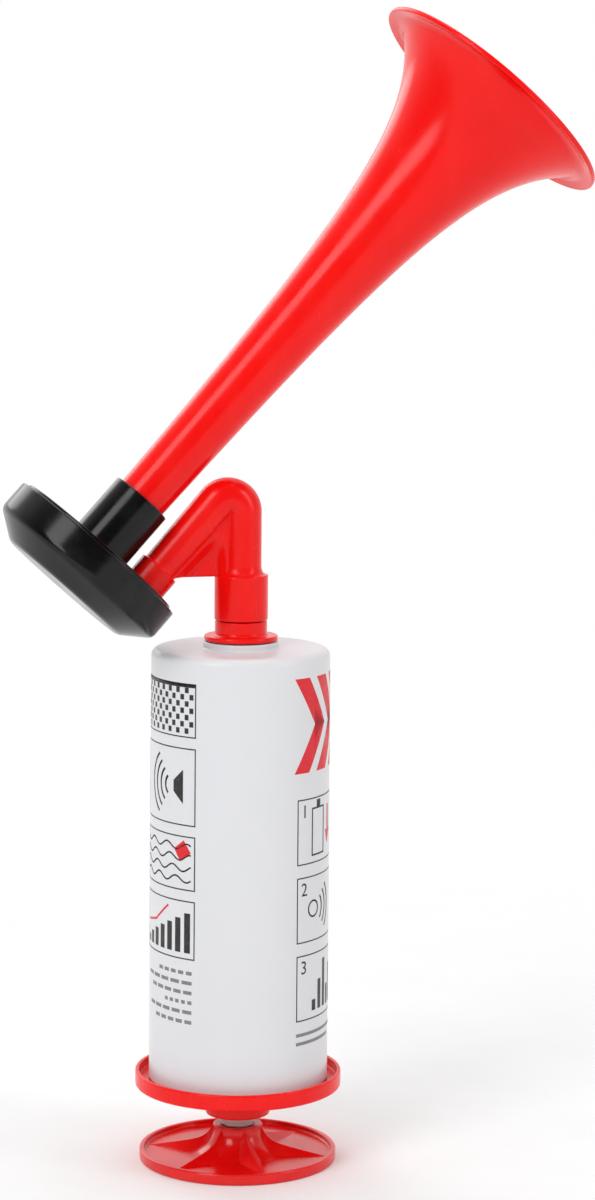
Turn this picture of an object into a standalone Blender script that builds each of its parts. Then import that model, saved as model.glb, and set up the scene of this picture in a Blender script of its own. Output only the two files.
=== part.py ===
"""Hand pump air horn: a plastic pump barrel that stands on its pull handle and blows a swivelling horn.

Metres, +Z up along the barrel. The origin is the centre of the handle's flat underside, the horn
points towards +X, and the heights below stack up from the handle, each piece seated on the last.
"""

import math

import bmesh
import bpy
from mathutils import Vector

MM = 0.001

# Gaps between pieces
SEAT_GAP = 0.3 * MM
FIT_GAP = 0.2 * MM
RUNNING_GAP = 0.15 * MM

# Pull handle
HANDLE_R = 27.5 * MM
HANDLE_RIM_HEIGHT = 3.0 * MM
HANDLE_RIM_WALL = 1.3 * MM
HANDLE_FLOOR = 1.6 * MM
HUB_HEIGHT = 9.4 * MM
HUB_R = 6.8 * MM
HUB_FLARE_R = 7.0 * MM
ROD_SOCKET_FLOOR = 2.7 * MM
RIB_COUNT = 6
RIB_FIRST_ANGLE = math.radians(34.0)
RIB_TIP_MARGIN = 0.9 * MM
RIB_SLOPE = 0.19
RIB_HALF_WIDTH_SLOPE = 0.235
RIB_ROOT_RISE = 4.0 * MM
RIB_ROOT_FADE = 1.8 * MM
RIB_BELOW_HUB_TOP = 0.6 * MM

# Rod and its guide bush
ROD_R = 4.0 * MM
ROD_WALL = 1.2 * MM
ROD_LENGTH = 114.0 * MM
ROD_BEAD_HEIGHT = 0.5 * MM
ROD_BEAD_LENGTH = 1.6 * MM
ROD_BEAD_FROM_TIP = 2.0 * MM
GUIDE_NOSE_R = 5.0 * MM
GUIDE_NOSE_LENGTH = 1.3 * MM
GUIDE_BODY_R = 6.4 * MM
GUIDE_BODY_SHOWN = 1.5 * MM
GUIDE_FLANGE_R = 8.5 * MM
GUIDE_FLANGE_THICKNESS = 1.3 * MM

# Bottom cap
CAP_R = 28.8 * MM
CAP_LIP_HEIGHT = 4.4 * MM
CAP_LIP_WALL = 1.1 * MM
CAP_FLOOR = 2.0 * MM
CAP_BOSS_R = 9.0 * MM
CAP_BOSS_DROP = 8.2 * MM
CAP_PLUG_HEIGHT = 8.0 * MM
CAP_PLUG_WALL = 1.5 * MM
VENT_COUNT = 4
VENT_R = 1.5 * MM
VENT_CIRCLE_R = 15.0 * MM

# Pump barrel
BARREL_R = 25.0 * MM
BARREL_WALL = 1.5 * MM
BARREL_LENGTH = 120.6 * MM
BARREL_TOP = 2.0 * MM
BARREL_EDGE_R = 2.3 * MM
BARREL_BOSS_R = 10.6 * MM
BARREL_BOSS_HEIGHT = 1.8 * MM

# Outlet neck on the barrel, with its nut and washer inside
NECK_FLANGE_R = 10.3 * MM
NECK_FLANGE_THICKNESS = 1.4 * MM
NECK_RING_R = 7.3 * MM
NECK_RING_HEIGHT = 4.0 * MM
NECK_STEM_R = 6.0 * MM
NECK_STEM_SHOWN = 0.8 * MM
NECK_BORE_R = 3.5 * MM
SPIGOT_R = 5.5 * MM
SPIGOT_LENGTH = 10.6 * MM
O_RING_WIRE_R = 0.45 * MM
O_RING_FROM_TOP = 4.5 * MM
WASHER_R = 9.8 * MM
WASHER_THICKNESS = 1.0 * MM
NUT_R = 9.2 * MM
NUT_THICKNESS = 3.5 * MM
NUT_SIDES = 6

# Elbow pipe
HORN_TILT = math.radians(42.0)
ELBOW_CORNER_RISE = 40.8 * MM
ELBOW_BEND_R = 4.1 * MM
ELBOW_TUBE_R = 5.6 * MM
ELBOW_LEG_R = 5.1 * MM
ELBOW_BORE_R = 3.4 * MM
SOCKET_R = 7.5 * MM
SOCKET_HEIGHT = 12.6 * MM
SOCKET_FILLET = 2.6 * MM
ELBOW_BOSS_R = 5.9 * MM
ELBOW_BOSS_LENGTH = 6.2 * MM
ELBOW_EDGE = 0.35 * MM
WEB_THICKNESS = 2.0 * MM
WEB_BELOW_SOCKET_TOP = 0.4 * MM

# Diaphragm housing, measured from the plane of the cover's rim
LEG_TO_HOUSING = 42.2 * MM
DUCT_OFFSET = 16.9 * MM
COVER_R = 27.5 * MM
COVER_DEPTH = 14.5 * MM
COVER_RIM_DEPTH = 8.8 * MM
COVER_FLAT_R = 19.5 * MM
COVER_WALL = 1.65 * MM
COVER_FLOOR = 2.0 * MM
LID_PROUD = 0.8 * MM
LID_THICKNESS = 2.4 * MM
COLLAR_R = 8.8 * MM
COLLAR_TOP = 18.4 * MM
COLLAR_SOCKET_DEPTH = 14.0 * MM
THROAT_R = 5.0 * MM
NOZZLE_WALL = 1.2 * MM
NIPPLE_R = 3.8 * MM
NIPPLE_BORE_R = 2.4 * MM
NIPPLE_HEIGHT = 5.4 * MM
DIAPHRAGM_THICKNESS = 0.3 * MM
RING_INSET = 2.4 * MM
RING_WIDTH = 2.6 * MM
LID_SKIRT_HEIGHT = 2.0 * MM
GASKET_THICKNESS = 1.0 * MM
CLAMP_THICKNESS = 1.0 * MM

# Horn: the wall follows a flare law from its throat to its mouth
HORN_TO_MOUTH = 170.0 * MM
BELL_THROAT_R = 5.14 * MM
BELL_MOUTH_R = 34.67 * MM
BELL_FLARE_LENGTH = 36.2 * MM
BELL_FLARE_POWER = 1.59
BELL_WALL = 1.4 * MM
BELL_RIM_R = 37.8 * MM
BELL_RIM_THICKNESS = 1.5 * MM
BELL_RIM_TURN_BACK = 0.7 * MM
BELL_RIM_BEND_R = 1.6 * MM

# Piston
PISTON_THICKNESS = 4.0 * MM
PISTON_CORE_R = 8.0 * MM
PISTON_SOCKET_DEPTH = 7.0 * MM
PISTON_SOCKET_ROOF = 1.5 * MM
PISTON_PILOT_DEPTH = 7.2 * MM
CUP_BASE = 1.2 * MM
CUP_HEIGHT = 6.0 * MM
CUP_LIP_WALL = 0.7 * MM
RETAINER_R = 17.5 * MM
RETAINER_THICKNESS = 1.8 * MM
SCREW_R = 1.9 * MM
SCREW_HEAD_R = 4.2 * MM
SCREW_HEAD_HEIGHT = 2.0 * MM
SCREW_TIP_GAP = 0.6 * MM

# Facets
ROUND_STEPS = 36
INNER_STEPS = 28
SMALL_STEPS = 20
ELBOW_STEPS = 20
BEND_STEPS = 9
BORE_BEND_STEPS = 6
BELL_STATIONS = 13
SHARP_ANGLE = math.radians(32.0)
MERGE = 0.00001

# Heights that follow, up the barrel
GUIDE_BOTTOM_Z = HUB_HEIGHT + SEAT_GAP
CAP_FLOOR_Z = GUIDE_BOTTOM_Z + GUIDE_NOSE_LENGTH + GUIDE_BODY_SHOWN + CAP_BOSS_DROP
BARREL_FOOT_Z = CAP_FLOOR_Z + CAP_FLOOR + SEAT_GAP
BARREL_TOP_Z = BARREL_FOOT_Z + BARREL_LENGTH
BARREL_INNER_R = BARREL_R - BARREL_WALL
NECK_SEAT_Z = BARREL_TOP_Z + BARREL_BOSS_HEIGHT + SEAT_GAP
SPIGOT_FOOT = NECK_FLANGE_THICKNESS + NECK_RING_HEIGHT
SWIVEL_Z = NECK_SEAT_Z + SPIGOT_FOOT + SEAT_GAP
ROD_FOOT_Z = ROD_SOCKET_FLOOR + SEAT_GAP
PISTON_SOCKET_ROOF_Z = ROD_FOOT_Z + ROD_LENGTH + SEAT_GAP
PISTON_TOP_Z = PISTON_SOCKET_ROOF_Z + PISTON_SOCKET_ROOF + PISTON_PILOT_DEPTH

# Places that follow, down from the housing's rim plane
LID_UNDERSIDE = LID_PROUD - LID_THICKNESS
GASKET_TOP = LID_UNDERSIDE - LID_SKIRT_HEIGHT - SEAT_GAP
DIAPHRAGM_TOP = GASKET_TOP - GASKET_THICKNESS - SEAT_GAP
CLAMP_TOP = DIAPHRAGM_TOP - DIAPHRAGM_THICKNESS - SEAT_GAP
COVER_SHELF = CLAMP_TOP - CLAMP_THICKNESS - SEAT_GAP
COVER_INNER_R = COVER_R - COVER_WALL
LID_R = COVER_INNER_R - FIT_GAP
RING_OUTER_R = COVER_INNER_R - RING_INSET
RING_INNER_R = RING_OUTER_R - RING_WIDTH
COLLAR_SOCKET_FLOOR = COLLAR_TOP - COLLAR_SOCKET_DEPTH

# The elbow's centreline: up the long leg, round the bend, down the short leg along the horn's axis
BEND_ANGLE = math.pi - HORN_TILT
HALF_CROTCH = HORN_TILT / 2
UP_LENGTH = ELBOW_CORNER_RISE - ELBOW_BEND_R / math.tan(HALF_CROTCH)
BEND_LENGTH = ELBOW_BEND_R * BEND_ANGLE
DOWN_START = UP_LENGTH + BEND_LENGTH
ELBOW_END = DOWN_START + LEG_TO_HOUSING - (ELBOW_CORNER_RISE - UP_LENGTH) - LID_PROUD - SEAT_GAP


def clear_scene():
    for thing in list(bpy.data.objects):
        bpy.data.objects.remove(thing)


def plastic(name, colour, roughness, metallic=0.0, see_through=0.0):
    """A Principled material in the piece's own colour."""
    material = bpy.data.materials.new(name)
    material.use_nodes = True
    shader = material.node_tree.nodes["Principled BSDF"]
    shader.inputs["Base Color"].default_value = (*colour, 1.0)
    shader.inputs["Roughness"].default_value = roughness
    shader.inputs["Metallic"].default_value = metallic
    shader.inputs["Transmission Weight"].default_value = see_through
    return material


def finish_mesh(shape, name, material, parent=None, location=(0.0, 0.0, 0.0)):
    """Turns a bmesh into a placed, smooth-shaded object."""
    bmesh.ops.remove_doubles(shape, verts=shape.verts, dist=MERGE)
    bmesh.ops.recalc_face_normals(shape, faces=shape.faces)
    mesh = bpy.data.meshes.new(name)
    shape.to_mesh(mesh)
    shape.free()
    mesh.shade_smooth()
    mesh.set_sharp_from_angle(angle=SHARP_ANGLE)
    if material:
        mesh.materials.append(material)
    piece = bpy.data.objects.new(name, mesh)
    piece.location = location
    piece.parent = parent
    bpy.context.scene.collection.objects.link(piece)
    return piece


def add_empty(name, location, parent=None, tilt=0.0):
    """A joint or axis marker that carries other pieces."""
    empty = bpy.data.objects.new(name, None)
    empty.empty_display_size = 10 * MM
    empty.location = location
    empty.rotation_euler = (0.0, tilt, 0.0)
    empty.parent = parent
    bpy.context.scene.collection.objects.link(empty)
    return empty


def make_helper(piece):
    """Keeps a tool body out of the finished object."""
    piece.hide_render = True
    piece.display_type = "WIRE"
    return piece


def combine(piece, tool, operation):
    """Adds or cuts a helper body with a live Boolean."""
    make_helper(tool)
    modifier = piece.modifiers.new(f"{operation.lower()}_{tool.name}", "BOOLEAN")
    modifier.operation = operation
    modifier.solver = "EXACT"
    modifier.object = tool


def arc(centre_r, centre_z, radius, start, end, steps):
    """Points (radius, height) on a round stretch of an outline, angles in degrees from +radius."""
    turns = [math.radians(start + (end - start) * step / steps) for step in range(steps + 1)]
    return [(centre_r + radius * math.cos(turn), centre_z + radius * math.sin(turn)) for turn in turns]


def turned(name, outline, material, steps=ROUND_STEPS, parent=None, location=(0.0, 0.0, 0.0)):
    """A body turned about its own Z from a closed outline of (radius, height) points."""
    shape = bmesh.new()
    points = [shape.verts.new((radius, 0.0, height)) for radius, height in outline]
    edges = []
    for first, second in zip(points, points[1:] + points[:1]):
        if first.co.x > MERGE or second.co.x > MERGE:
            edges.append(shape.edges.new((first, second)))
    bmesh.ops.spin(
        shape, geom=points + edges, cent=(0, 0, 0), axis=(0, 0, 1),
        angle=math.tau, steps=steps, use_merge=True,
    )
    return finish_mesh(shape, name, material, parent, location)


def ring_outline(inner_r, outer_r, bottom, top, edge=0.0):
    """Outline of a plain ring, with its outer edges chamfered by edge."""
    if not edge:
        return [(inner_r, bottom), (outer_r, bottom), (outer_r, top), (inner_r, top)]
    return [
        (inner_r, bottom), (outer_r - edge, bottom), (outer_r, bottom + edge),
        (outer_r, top - edge), (outer_r - edge, top), (inner_r, top),
    ]


def make_handle(material, parent):
    """Disc with a raised rim and a flared hub, joined by six ribs that narrow to points."""
    rim_inner_r = HANDLE_R - HANDLE_RIM_WALL
    edge = HANDLE_RIM_WALL / 3
    flare_foot_r = HUB_R + HUB_FLARE_R
    socket_r = ROD_R + FIT_GAP
    outline = [(0.0, 0.0), (HANDLE_R - edge, 0.0), (HANDLE_R, edge)]
    outline += [(HANDLE_R, HANDLE_RIM_HEIGHT - edge), (HANDLE_R - edge, HANDLE_RIM_HEIGHT)]
    outline += [(rim_inner_r, HANDLE_RIM_HEIGHT - edge), (rim_inner_r - edge / 2, HANDLE_FLOOR)]
    outline += arc(flare_foot_r, HANDLE_FLOOR + HUB_FLARE_R, HUB_FLARE_R, 270, 180, 5)
    outline += [(HUB_R, HUB_HEIGHT - edge), (HUB_R - edge, HUB_HEIGHT)]
    outline += [(socket_r, HUB_HEIGHT), (socket_r, ROD_SOCKET_FLOOR), (0.0, ROD_SOCKET_FLOOR)]
    handle = turned("pump_handle", outline, material, parent=parent)
    for index in range(RIB_COUNT):
        rib = make_rib(f"rib_{index + 1}", material)
        rib.rotation_euler.z = RIB_FIRST_ANGLE + math.tau * index / RIB_COUNT
        rib.parent = parent
        combine(handle, rib, "UNION")
    return handle


def rib_section(distance, tip_r):
    """Corners of the rib's three-sided section at a distance from the hub's axis."""
    left = tip_r - distance
    rise = RIB_SLOPE * left + RIB_ROOT_RISE * math.exp(-(distance - HUB_R) / RIB_ROOT_FADE)
    top = min(HANDLE_FLOOR + rise, HUB_HEIGHT - RIB_BELOW_HUB_TOP)
    base = HANDLE_FLOOR / 2
    spread = (top - base) / (top - HANDLE_FLOOR)
    half_width = RIB_HALF_WIDTH_SLOPE * left * spread
    return [Vector((distance, -half_width, base)), Vector((distance, half_width, base)),
            Vector((distance, 0.0, top))]


def make_rib(name, material):
    """One rib: a three-sided bar that starts inside the hub's wall and sinks into the floor at its tip."""
    tip_r = HANDLE_R - HANDLE_RIM_WALL - RIB_TIP_MARGIN
    start_r = (HUB_R + ROD_R + FIT_GAP) / 2
    fade = [0.0, 0.06, 0.12, 0.2, 0.32, 0.62, 0.97]
    shape = bmesh.new()
    corners = [shape.verts.new(point) for point in rib_section(start_r, tip_r)]
    section = [shape.edges.new((corners[turn], corners[(turn + 1) % 3])) for turn in range(3)]
    shape.faces.new(corners)
    for share in fade[1:]:
        grown = bmesh.ops.extrude_edge_only(shape, edges=section)["geom"]
        moved = [item for item in grown if isinstance(item, bmesh.types.BMVert)]
        edges = [item for item in grown if isinstance(item, bmesh.types.BMEdge)]
        section = [edge for edge in edges if set(edge.verts) <= set(moved)]
        places = rib_section(start_r + (tip_r - start_r) * share, tip_r)
        for vert in moved:
            vert.co = places[2] if vert.co.z > HANDLE_FLOOR else places[1 if vert.co.y > 0 else 0]
    bmesh.ops.contextual_create(shape, geom=section)
    return finish_mesh(shape, name, material)


def make_rod(material, parent):
    """Plastic tube with a snap bead near its top end."""
    inner_r = ROD_R - ROD_WALL
    bead_top = ROD_LENGTH - ROD_BEAD_FROM_TIP
    bead_bottom = bead_top - ROD_BEAD_LENGTH
    outline = [
        (inner_r, 0.0), (ROD_R, 0.0), (ROD_R, bead_bottom),
        (ROD_R + ROD_BEAD_HEIGHT, bead_bottom + ROD_BEAD_HEIGHT),
        (ROD_R + ROD_BEAD_HEIGHT, bead_top - ROD_BEAD_HEIGHT), (ROD_R, bead_top),
        (ROD_R, ROD_LENGTH), (inner_r, ROD_LENGTH),
    ]
    return turned("piston_rod", outline, material, SMALL_STEPS, parent, (0, 0, ROD_FOOT_Z))


def make_guide(material):
    """Stepped bush: narrow nose over the hub, wider body in the cap's boss, flange on the cap's floor."""
    bore_r = ROD_R + RUNNING_GAP
    body_top = CAP_FLOOR_Z + CAP_FLOOR + SEAT_GAP - GUIDE_BOTTOM_Z
    flange_top = body_top + GUIDE_FLANGE_THICKNESS
    outline = [
        (bore_r, 0.0), (GUIDE_NOSE_R, 0.0), (GUIDE_NOSE_R, GUIDE_NOSE_LENGTH),
        (GUIDE_BODY_R, GUIDE_NOSE_LENGTH), (GUIDE_BODY_R, body_top), (GUIDE_FLANGE_R, body_top),
        (GUIDE_FLANGE_R, flange_top), (bore_r, flange_top),
    ]
    return turned("rod_guide", outline, material, SMALL_STEPS, location=(0, 0, GUIDE_BOTTOM_Z))


def make_cap(material):
    """Cap with a thin outer lip, a plug ring inside the barrel, a boss for the guide and air vents."""
    bore_r = GUIDE_BODY_R + FIT_GAP
    plug_r = BARREL_INNER_R - FIT_GAP
    lip_inner_r = CAP_R - CAP_LIP_WALL
    plug_top = CAP_FLOOR + CAP_PLUG_HEIGHT
    edge = CAP_LIP_WALL / 3
    outline = [(bore_r, -CAP_BOSS_DROP), (CAP_BOSS_R, -CAP_BOSS_DROP), (CAP_BOSS_R, 0.0)]
    outline += arc(CAP_R - 2 * edge, 2 * edge, 2 * edge, 270, 360, 2)
    outline += [(CAP_R, CAP_LIP_HEIGHT - edge), (CAP_R - edge, CAP_LIP_HEIGHT)]
    outline += [(lip_inner_r, CAP_LIP_HEIGHT), (lip_inner_r, CAP_FLOOR), (plug_r, CAP_FLOOR)]
    outline += [(plug_r, plug_top - edge), (plug_r - edge, plug_top), (plug_r - CAP_PLUG_WALL, plug_top)]
    outline += [(plug_r - CAP_PLUG_WALL, CAP_FLOOR), (bore_r, CAP_FLOOR)]
    cap = turned("bottom_cap", outline, material, location=(0, 0, CAP_FLOOR_Z))
    for index in range(VENT_COUNT):
        turn = math.tau * (index + 0.5) / VENT_COUNT
        vent = ring_outline(0.0, VENT_R, CAP_FLOOR_Z - CAP_FLOOR, CAP_FLOOR_Z + 2 * CAP_FLOOR)
        place = (VENT_CIRCLE_R * math.cos(turn), VENT_CIRCLE_R * math.sin(turn), 0.0)
        combine(cap, turned(f"vent_{index + 1}", vent, None, 8, location=place), "DIFFERENCE")
    return cap


def make_barrel(material):
    """Thin round cylinder, open below, with a rounded top edge and a low boss round the neck hole."""
    hole_r = NECK_STEM_R + FIT_GAP
    top = BARREL_LENGTH
    edge = BARREL_WALL / 3
    inner_edge_r = BARREL_EDGE_R - BARREL_WALL
    outline = [(BARREL_INNER_R, 0.0), (BARREL_R - edge, 0.0), (BARREL_R, edge)]
    outline += arc(BARREL_R - BARREL_EDGE_R, top - BARREL_EDGE_R, BARREL_EDGE_R, 0, 90, 4)
    outline += [(BARREL_BOSS_R, top), (BARREL_BOSS_R, top + BARREL_BOSS_HEIGHT - edge)]
    outline += [(BARREL_BOSS_R - edge, top + BARREL_BOSS_HEIGHT), (hole_r, top + BARREL_BOSS_HEIGHT)]
    outline += [(hole_r, top - BARREL_TOP), (BARREL_INNER_R - inner_edge_r, top - BARREL_TOP)]
    outline += [(BARREL_INNER_R, top - BARREL_TOP - inner_edge_r)]
    return turned("pump_barrel", outline, material, location=(0, 0, BARREL_FOOT_Z))


def make_neck(material):
    """Flanged fitting: stem down through the barrel's top, ring and spigot up into the elbow."""
    stem_foot = -(NECK_SEAT_Z - BARREL_TOP_Z + BARREL_TOP + WASHER_THICKNESS + NUT_THICKNESS)
    stem_foot -= 2 * SEAT_GAP + NECK_STEM_SHOWN
    edge = NECK_FLANGE_THICKNESS / 4
    spigot_top = SPIGOT_FOOT + SPIGOT_LENGTH
    groove_r = SPIGOT_R - 2 * O_RING_WIRE_R - FIT_GAP
    groove_top = spigot_top - O_RING_FROM_TOP + O_RING_WIRE_R + FIT_GAP
    groove_bottom = groove_top - 2 * (O_RING_WIRE_R + FIT_GAP)
    outline = [(NECK_BORE_R, stem_foot), (NECK_STEM_R, stem_foot), (NECK_STEM_R, 0.0)]
    outline += [(NECK_FLANGE_R - edge, 0.0), (NECK_FLANGE_R, edge)]
    outline += [(NECK_FLANGE_R, NECK_FLANGE_THICKNESS - edge), (NECK_FLANGE_R - edge, NECK_FLANGE_THICKNESS)]
    outline += arc(NECK_RING_R + edge, NECK_FLANGE_THICKNESS + edge, edge, 270, 180, 1)
    outline += [(NECK_RING_R, SPIGOT_FOOT), (SPIGOT_R, SPIGOT_FOOT), (SPIGOT_R, groove_bottom)]
    outline += [(groove_r, groove_bottom), (groove_r, groove_top), (SPIGOT_R, groove_top)]
    outline += [(SPIGOT_R, spigot_top - edge), (SPIGOT_R - edge, spigot_top), (NECK_BORE_R, spigot_top)]
    return turned("outlet_neck", outline, material, SMALL_STEPS, location=(0, 0, NECK_SEAT_Z))


def make_neck_seals(rubber, nut_material):
    """Washer and nut under the barrel's top, and the ring in the spigot's groove."""
    washer_top = BARREL_TOP_Z - BARREL_TOP - SEAT_GAP
    nut_top = washer_top - WASHER_THICKNESS - SEAT_GAP
    bore_r = NECK_STEM_R + FIT_GAP
    washer = ring_outline(bore_r, WASHER_R, -WASHER_THICKNESS, 0.0)
    turned("neck_washer", washer, rubber, SMALL_STEPS, location=(0, 0, washer_top))
    block = ring_outline(0.0, NUT_R, -NUT_THICKNESS, 0.0)
    nut = turned("neck_nut", block, nut_material, NUT_SIDES, location=(0, 0, nut_top))
    bore = ring_outline(0.0, bore_r, -2 * NUT_THICKNESS, NUT_THICKNESS)
    combine(nut, turned("nut_bore", bore, None, SMALL_STEPS, location=(0, 0, nut_top)), "DIFFERENCE")
    ring_z = NECK_SEAT_Z + SPIGOT_FOOT + SPIGOT_LENGTH - O_RING_FROM_TOP
    wire = arc(SPIGOT_R - O_RING_WIRE_R + RUNNING_GAP / 2, 0.0, O_RING_WIRE_R, 0, 300, 5)
    turned("neck_o_ring", wire, rubber, SMALL_STEPS, location=(0, 0, ring_z))


def elbow_point(along, radius, turn):
    """A point of the elbow's skin: distance along the centreline, radius and angle about it.

    The skin is rounder than the bend, so points inside the bend's axis stop at the plane that
    halves the angle between the legs, where the two legs meet in a crease.
    """
    outward = radius * math.cos(turn)
    side = radius * math.sin(turn)
    crease = max(0.0, -outward - ELBOW_BEND_R) / math.tan(HALF_CROTCH)
    if along <= UP_LENGTH or (crease and along < DOWN_START):
        return Vector((outward, side, min(along, UP_LENGTH - crease)))
    angle = min(along - UP_LENGTH, BEND_LENGTH) / ELBOW_BEND_R
    facing = Vector((math.cos(angle), 0.0, math.sin(angle)))
    ahead = Vector((-math.sin(angle), 0.0, math.cos(angle)))
    bend_centre = Vector((-ELBOW_BEND_R, side, UP_LENGTH))
    past_bend = max(along - DOWN_START, crease) if along >= DOWN_START else 0.0
    return bend_centre + facing * (ELBOW_BEND_R + outward) + ahead * past_bend


def bend_stations(radius, steps):
    """Stations round the bend at one radius."""
    return [(UP_LENGTH + BEND_LENGTH * step / steps, radius) for step in range(steps + 1)]


def make_elbow(material, swivel):
    """Bent pipe skinned by rings: up the outside, round the end and back through the bore."""
    edge = ELBOW_EDGE
    pocket_r = NIPPLE_R + FIT_GAP
    pocket_end = ELBOW_END - NIPPLE_HEIGHT
    shoulder = SPIGOT_LENGTH
    outside = [(0.0, SOCKET_R - edge), (edge, SOCKET_R), (SOCKET_HEIGHT - edge, SOCKET_R)]
    outside += [(SOCKET_HEIGHT, SOCKET_R - edge)]
    fillet_r = SOCKET_R - edge - ELBOW_TUBE_R
    for step in range(1, 4):
        lean = math.radians(30 * step)
        outside.append((SOCKET_HEIGHT + SOCKET_FILLET * (1 - math.cos(lean)),
                        SOCKET_R - edge - fillet_r * math.sin(lean)))
    outside += bend_stations(ELBOW_TUBE_R, BEND_STEPS)
    boss_start = ELBOW_END - ELBOW_BOSS_LENGTH
    outside += [((DOWN_START + boss_start) / 2, (ELBOW_TUBE_R + ELBOW_LEG_R) / 2)]
    outside += [(boss_start - 2 * edge, ELBOW_LEG_R), (boss_start, ELBOW_BOSS_R - edge)]
    outside += [(ELBOW_END - edge, ELBOW_BOSS_R), (ELBOW_END, ELBOW_BOSS_R - edge)]
    inside = [(ELBOW_END, pocket_r), (pocket_end, pocket_r), (pocket_end, ELBOW_BORE_R)]
    inside += reversed(bend_stations(ELBOW_BORE_R, BORE_BEND_STEPS))
    inside += [(shoulder, ELBOW_BORE_R), (shoulder, SPIGOT_R + FIT_GAP), (0.0, SPIGOT_R + FIT_GAP)]
    shape = bmesh.new()
    first = bmesh.ops.create_circle(shape, segments=ELBOW_STEPS, radius=SOCKET_R)["verts"]
    turns = [math.tau * step / ELBOW_STEPS for step in range(ELBOW_STEPS)]
    rings = [first]
    for _ in (outside + inside)[1:]:
        rings.append(bmesh.ops.create_circle(shape, segments=ELBOW_STEPS, radius=SOCKET_R)["verts"])
    for ring, (along, radius) in zip(rings, outside + inside):
        for vert, turn in zip(ring, turns):
            vert.co = elbow_point(along, radius, turn)
    for ring, following in zip(rings, rings[1:] + rings[:1]):
        for step in range(ELBOW_STEPS):
            ahead = (step + 1) % ELBOW_STEPS
            shape.faces.new((ring[step], ring[ahead], following[ahead], following[step]))
    elbow = finish_mesh(shape, "elbow_pipe", material, swivel)
    combine(elbow, make_web(material, swivel), "UNION")
    return elbow


def make_web(material, swivel):
    """Flat gusset between the legs; its edges end inside the pipe's walls."""
    root = (ELBOW_BORE_R + ELBOW_LEG_R) / 2
    bottom = SOCKET_HEIGHT - WEB_BELOW_SOCKET_TOP
    apex_drop = root / math.sin(HALF_CROTCH)
    leg_x = (bottom - ELBOW_CORNER_RISE) * math.tan(HORN_TILT) + root / math.cos(HORN_TILT)
    corners = [
        (-apex_drop * math.sin(HALF_CROTCH), ELBOW_CORNER_RISE - apex_drop * math.cos(HALF_CROTCH)),
        (leg_x, bottom),
        (-root, bottom),
    ]
    shape = bmesh.new()
    face = shape.faces.new([shape.verts.new((x, -WEB_THICKNESS / 2, z)) for x, z in corners])
    grown = bmesh.ops.extrude_face_region(shape, geom=[face])["geom"]
    moved = [item for item in grown if isinstance(item, bmesh.types.BMVert)]
    bmesh.ops.translate(shape, verts=moved, vec=(0.0, WEB_THICKNESS, 0.0))
    return finish_mesh(shape, "elbow_web", material, swivel)


def make_lid(material, axis):
    """Disc with the horn's collar above and the diaphragm's nozzle and skirt below, plus the air nipple."""
    edge = LID_PROUD / 3
    nozzle_tip = DIAPHRAGM_TOP + SEAT_GAP
    skirt_foot = LID_UNDERSIDE - LID_SKIRT_HEIGHT
    socket_r = horn_radius(COLLAR_TOP) + FIT_GAP
    outline = [(THROAT_R, nozzle_tip), (THROAT_R + NOZZLE_WALL, nozzle_tip)]
    outline += [(THROAT_R + NOZZLE_WALL, LID_UNDERSIDE), (RING_INNER_R, LID_UNDERSIDE)]
    outline += [(RING_INNER_R, skirt_foot), (RING_OUTER_R, skirt_foot), (RING_OUTER_R, LID_UNDERSIDE)]
    outline += [(LID_R, LID_UNDERSIDE), (LID_R, LID_PROUD - edge), (LID_R - edge, LID_PROUD)]
    outline += [(COLLAR_R, LID_PROUD), (COLLAR_R, COLLAR_TOP - edge), (COLLAR_R - edge, COLLAR_TOP)]
    outline += [(socket_r, COLLAR_TOP), (socket_r, COLLAR_SOCKET_FLOOR), (THROAT_R, COLLAR_SOCKET_FLOOR)]
    lid = turned("housing_lid", outline, material, parent=axis)
    middle = LID_PROUD - LID_THICKNESS / 2
    nipple = ring_outline(0.0, NIPPLE_R, middle, LID_PROUD + NIPPLE_HEIGHT)
    bore = ring_outline(0.0, NIPPLE_BORE_R, LID_UNDERSIDE - LID_THICKNESS, LID_PROUD + 2 * NIPPLE_HEIGHT)
    for name, outline, operation in (("nipple", nipple, "UNION"), ("nipple_bore", bore, "DIFFERENCE")):
        tool = turned(name, outline, material, ELBOW_STEPS, axis, (DUCT_OFFSET, 0, 0))
        combine(lid, tool, operation)
    return lid


def make_cover(material, axis):
    """Cup that takes the lid in its mouth, with a shelf for the clamp ring and a chamfered floor."""
    edge = COVER_WALL / 3
    floor = -COVER_DEPTH + COVER_FLOOR
    chamfer_inner_r = COVER_FLAT_R - COVER_FLOOR / 2
    outline = [(0.0, -COVER_DEPTH), (COVER_FLAT_R - edge, -COVER_DEPTH), (COVER_FLAT_R + edge, edge - COVER_DEPTH)]
    outline += [(COVER_R - edge, -COVER_RIM_DEPTH - edge), (COVER_R, -COVER_RIM_DEPTH + edge)]
    outline += [(COVER_R, -edge), (COVER_R - edge, 0.0), (COVER_INNER_R, 0.0)]
    outline += [(COVER_INNER_R, COVER_SHELF), (RING_INNER_R, COVER_SHELF)]
    outline += [(RING_INNER_R, -COVER_RIM_DEPTH - edge), (chamfer_inner_r, floor), (0.0, floor)]
    return turned("housing_cover", outline, material, parent=axis)


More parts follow.
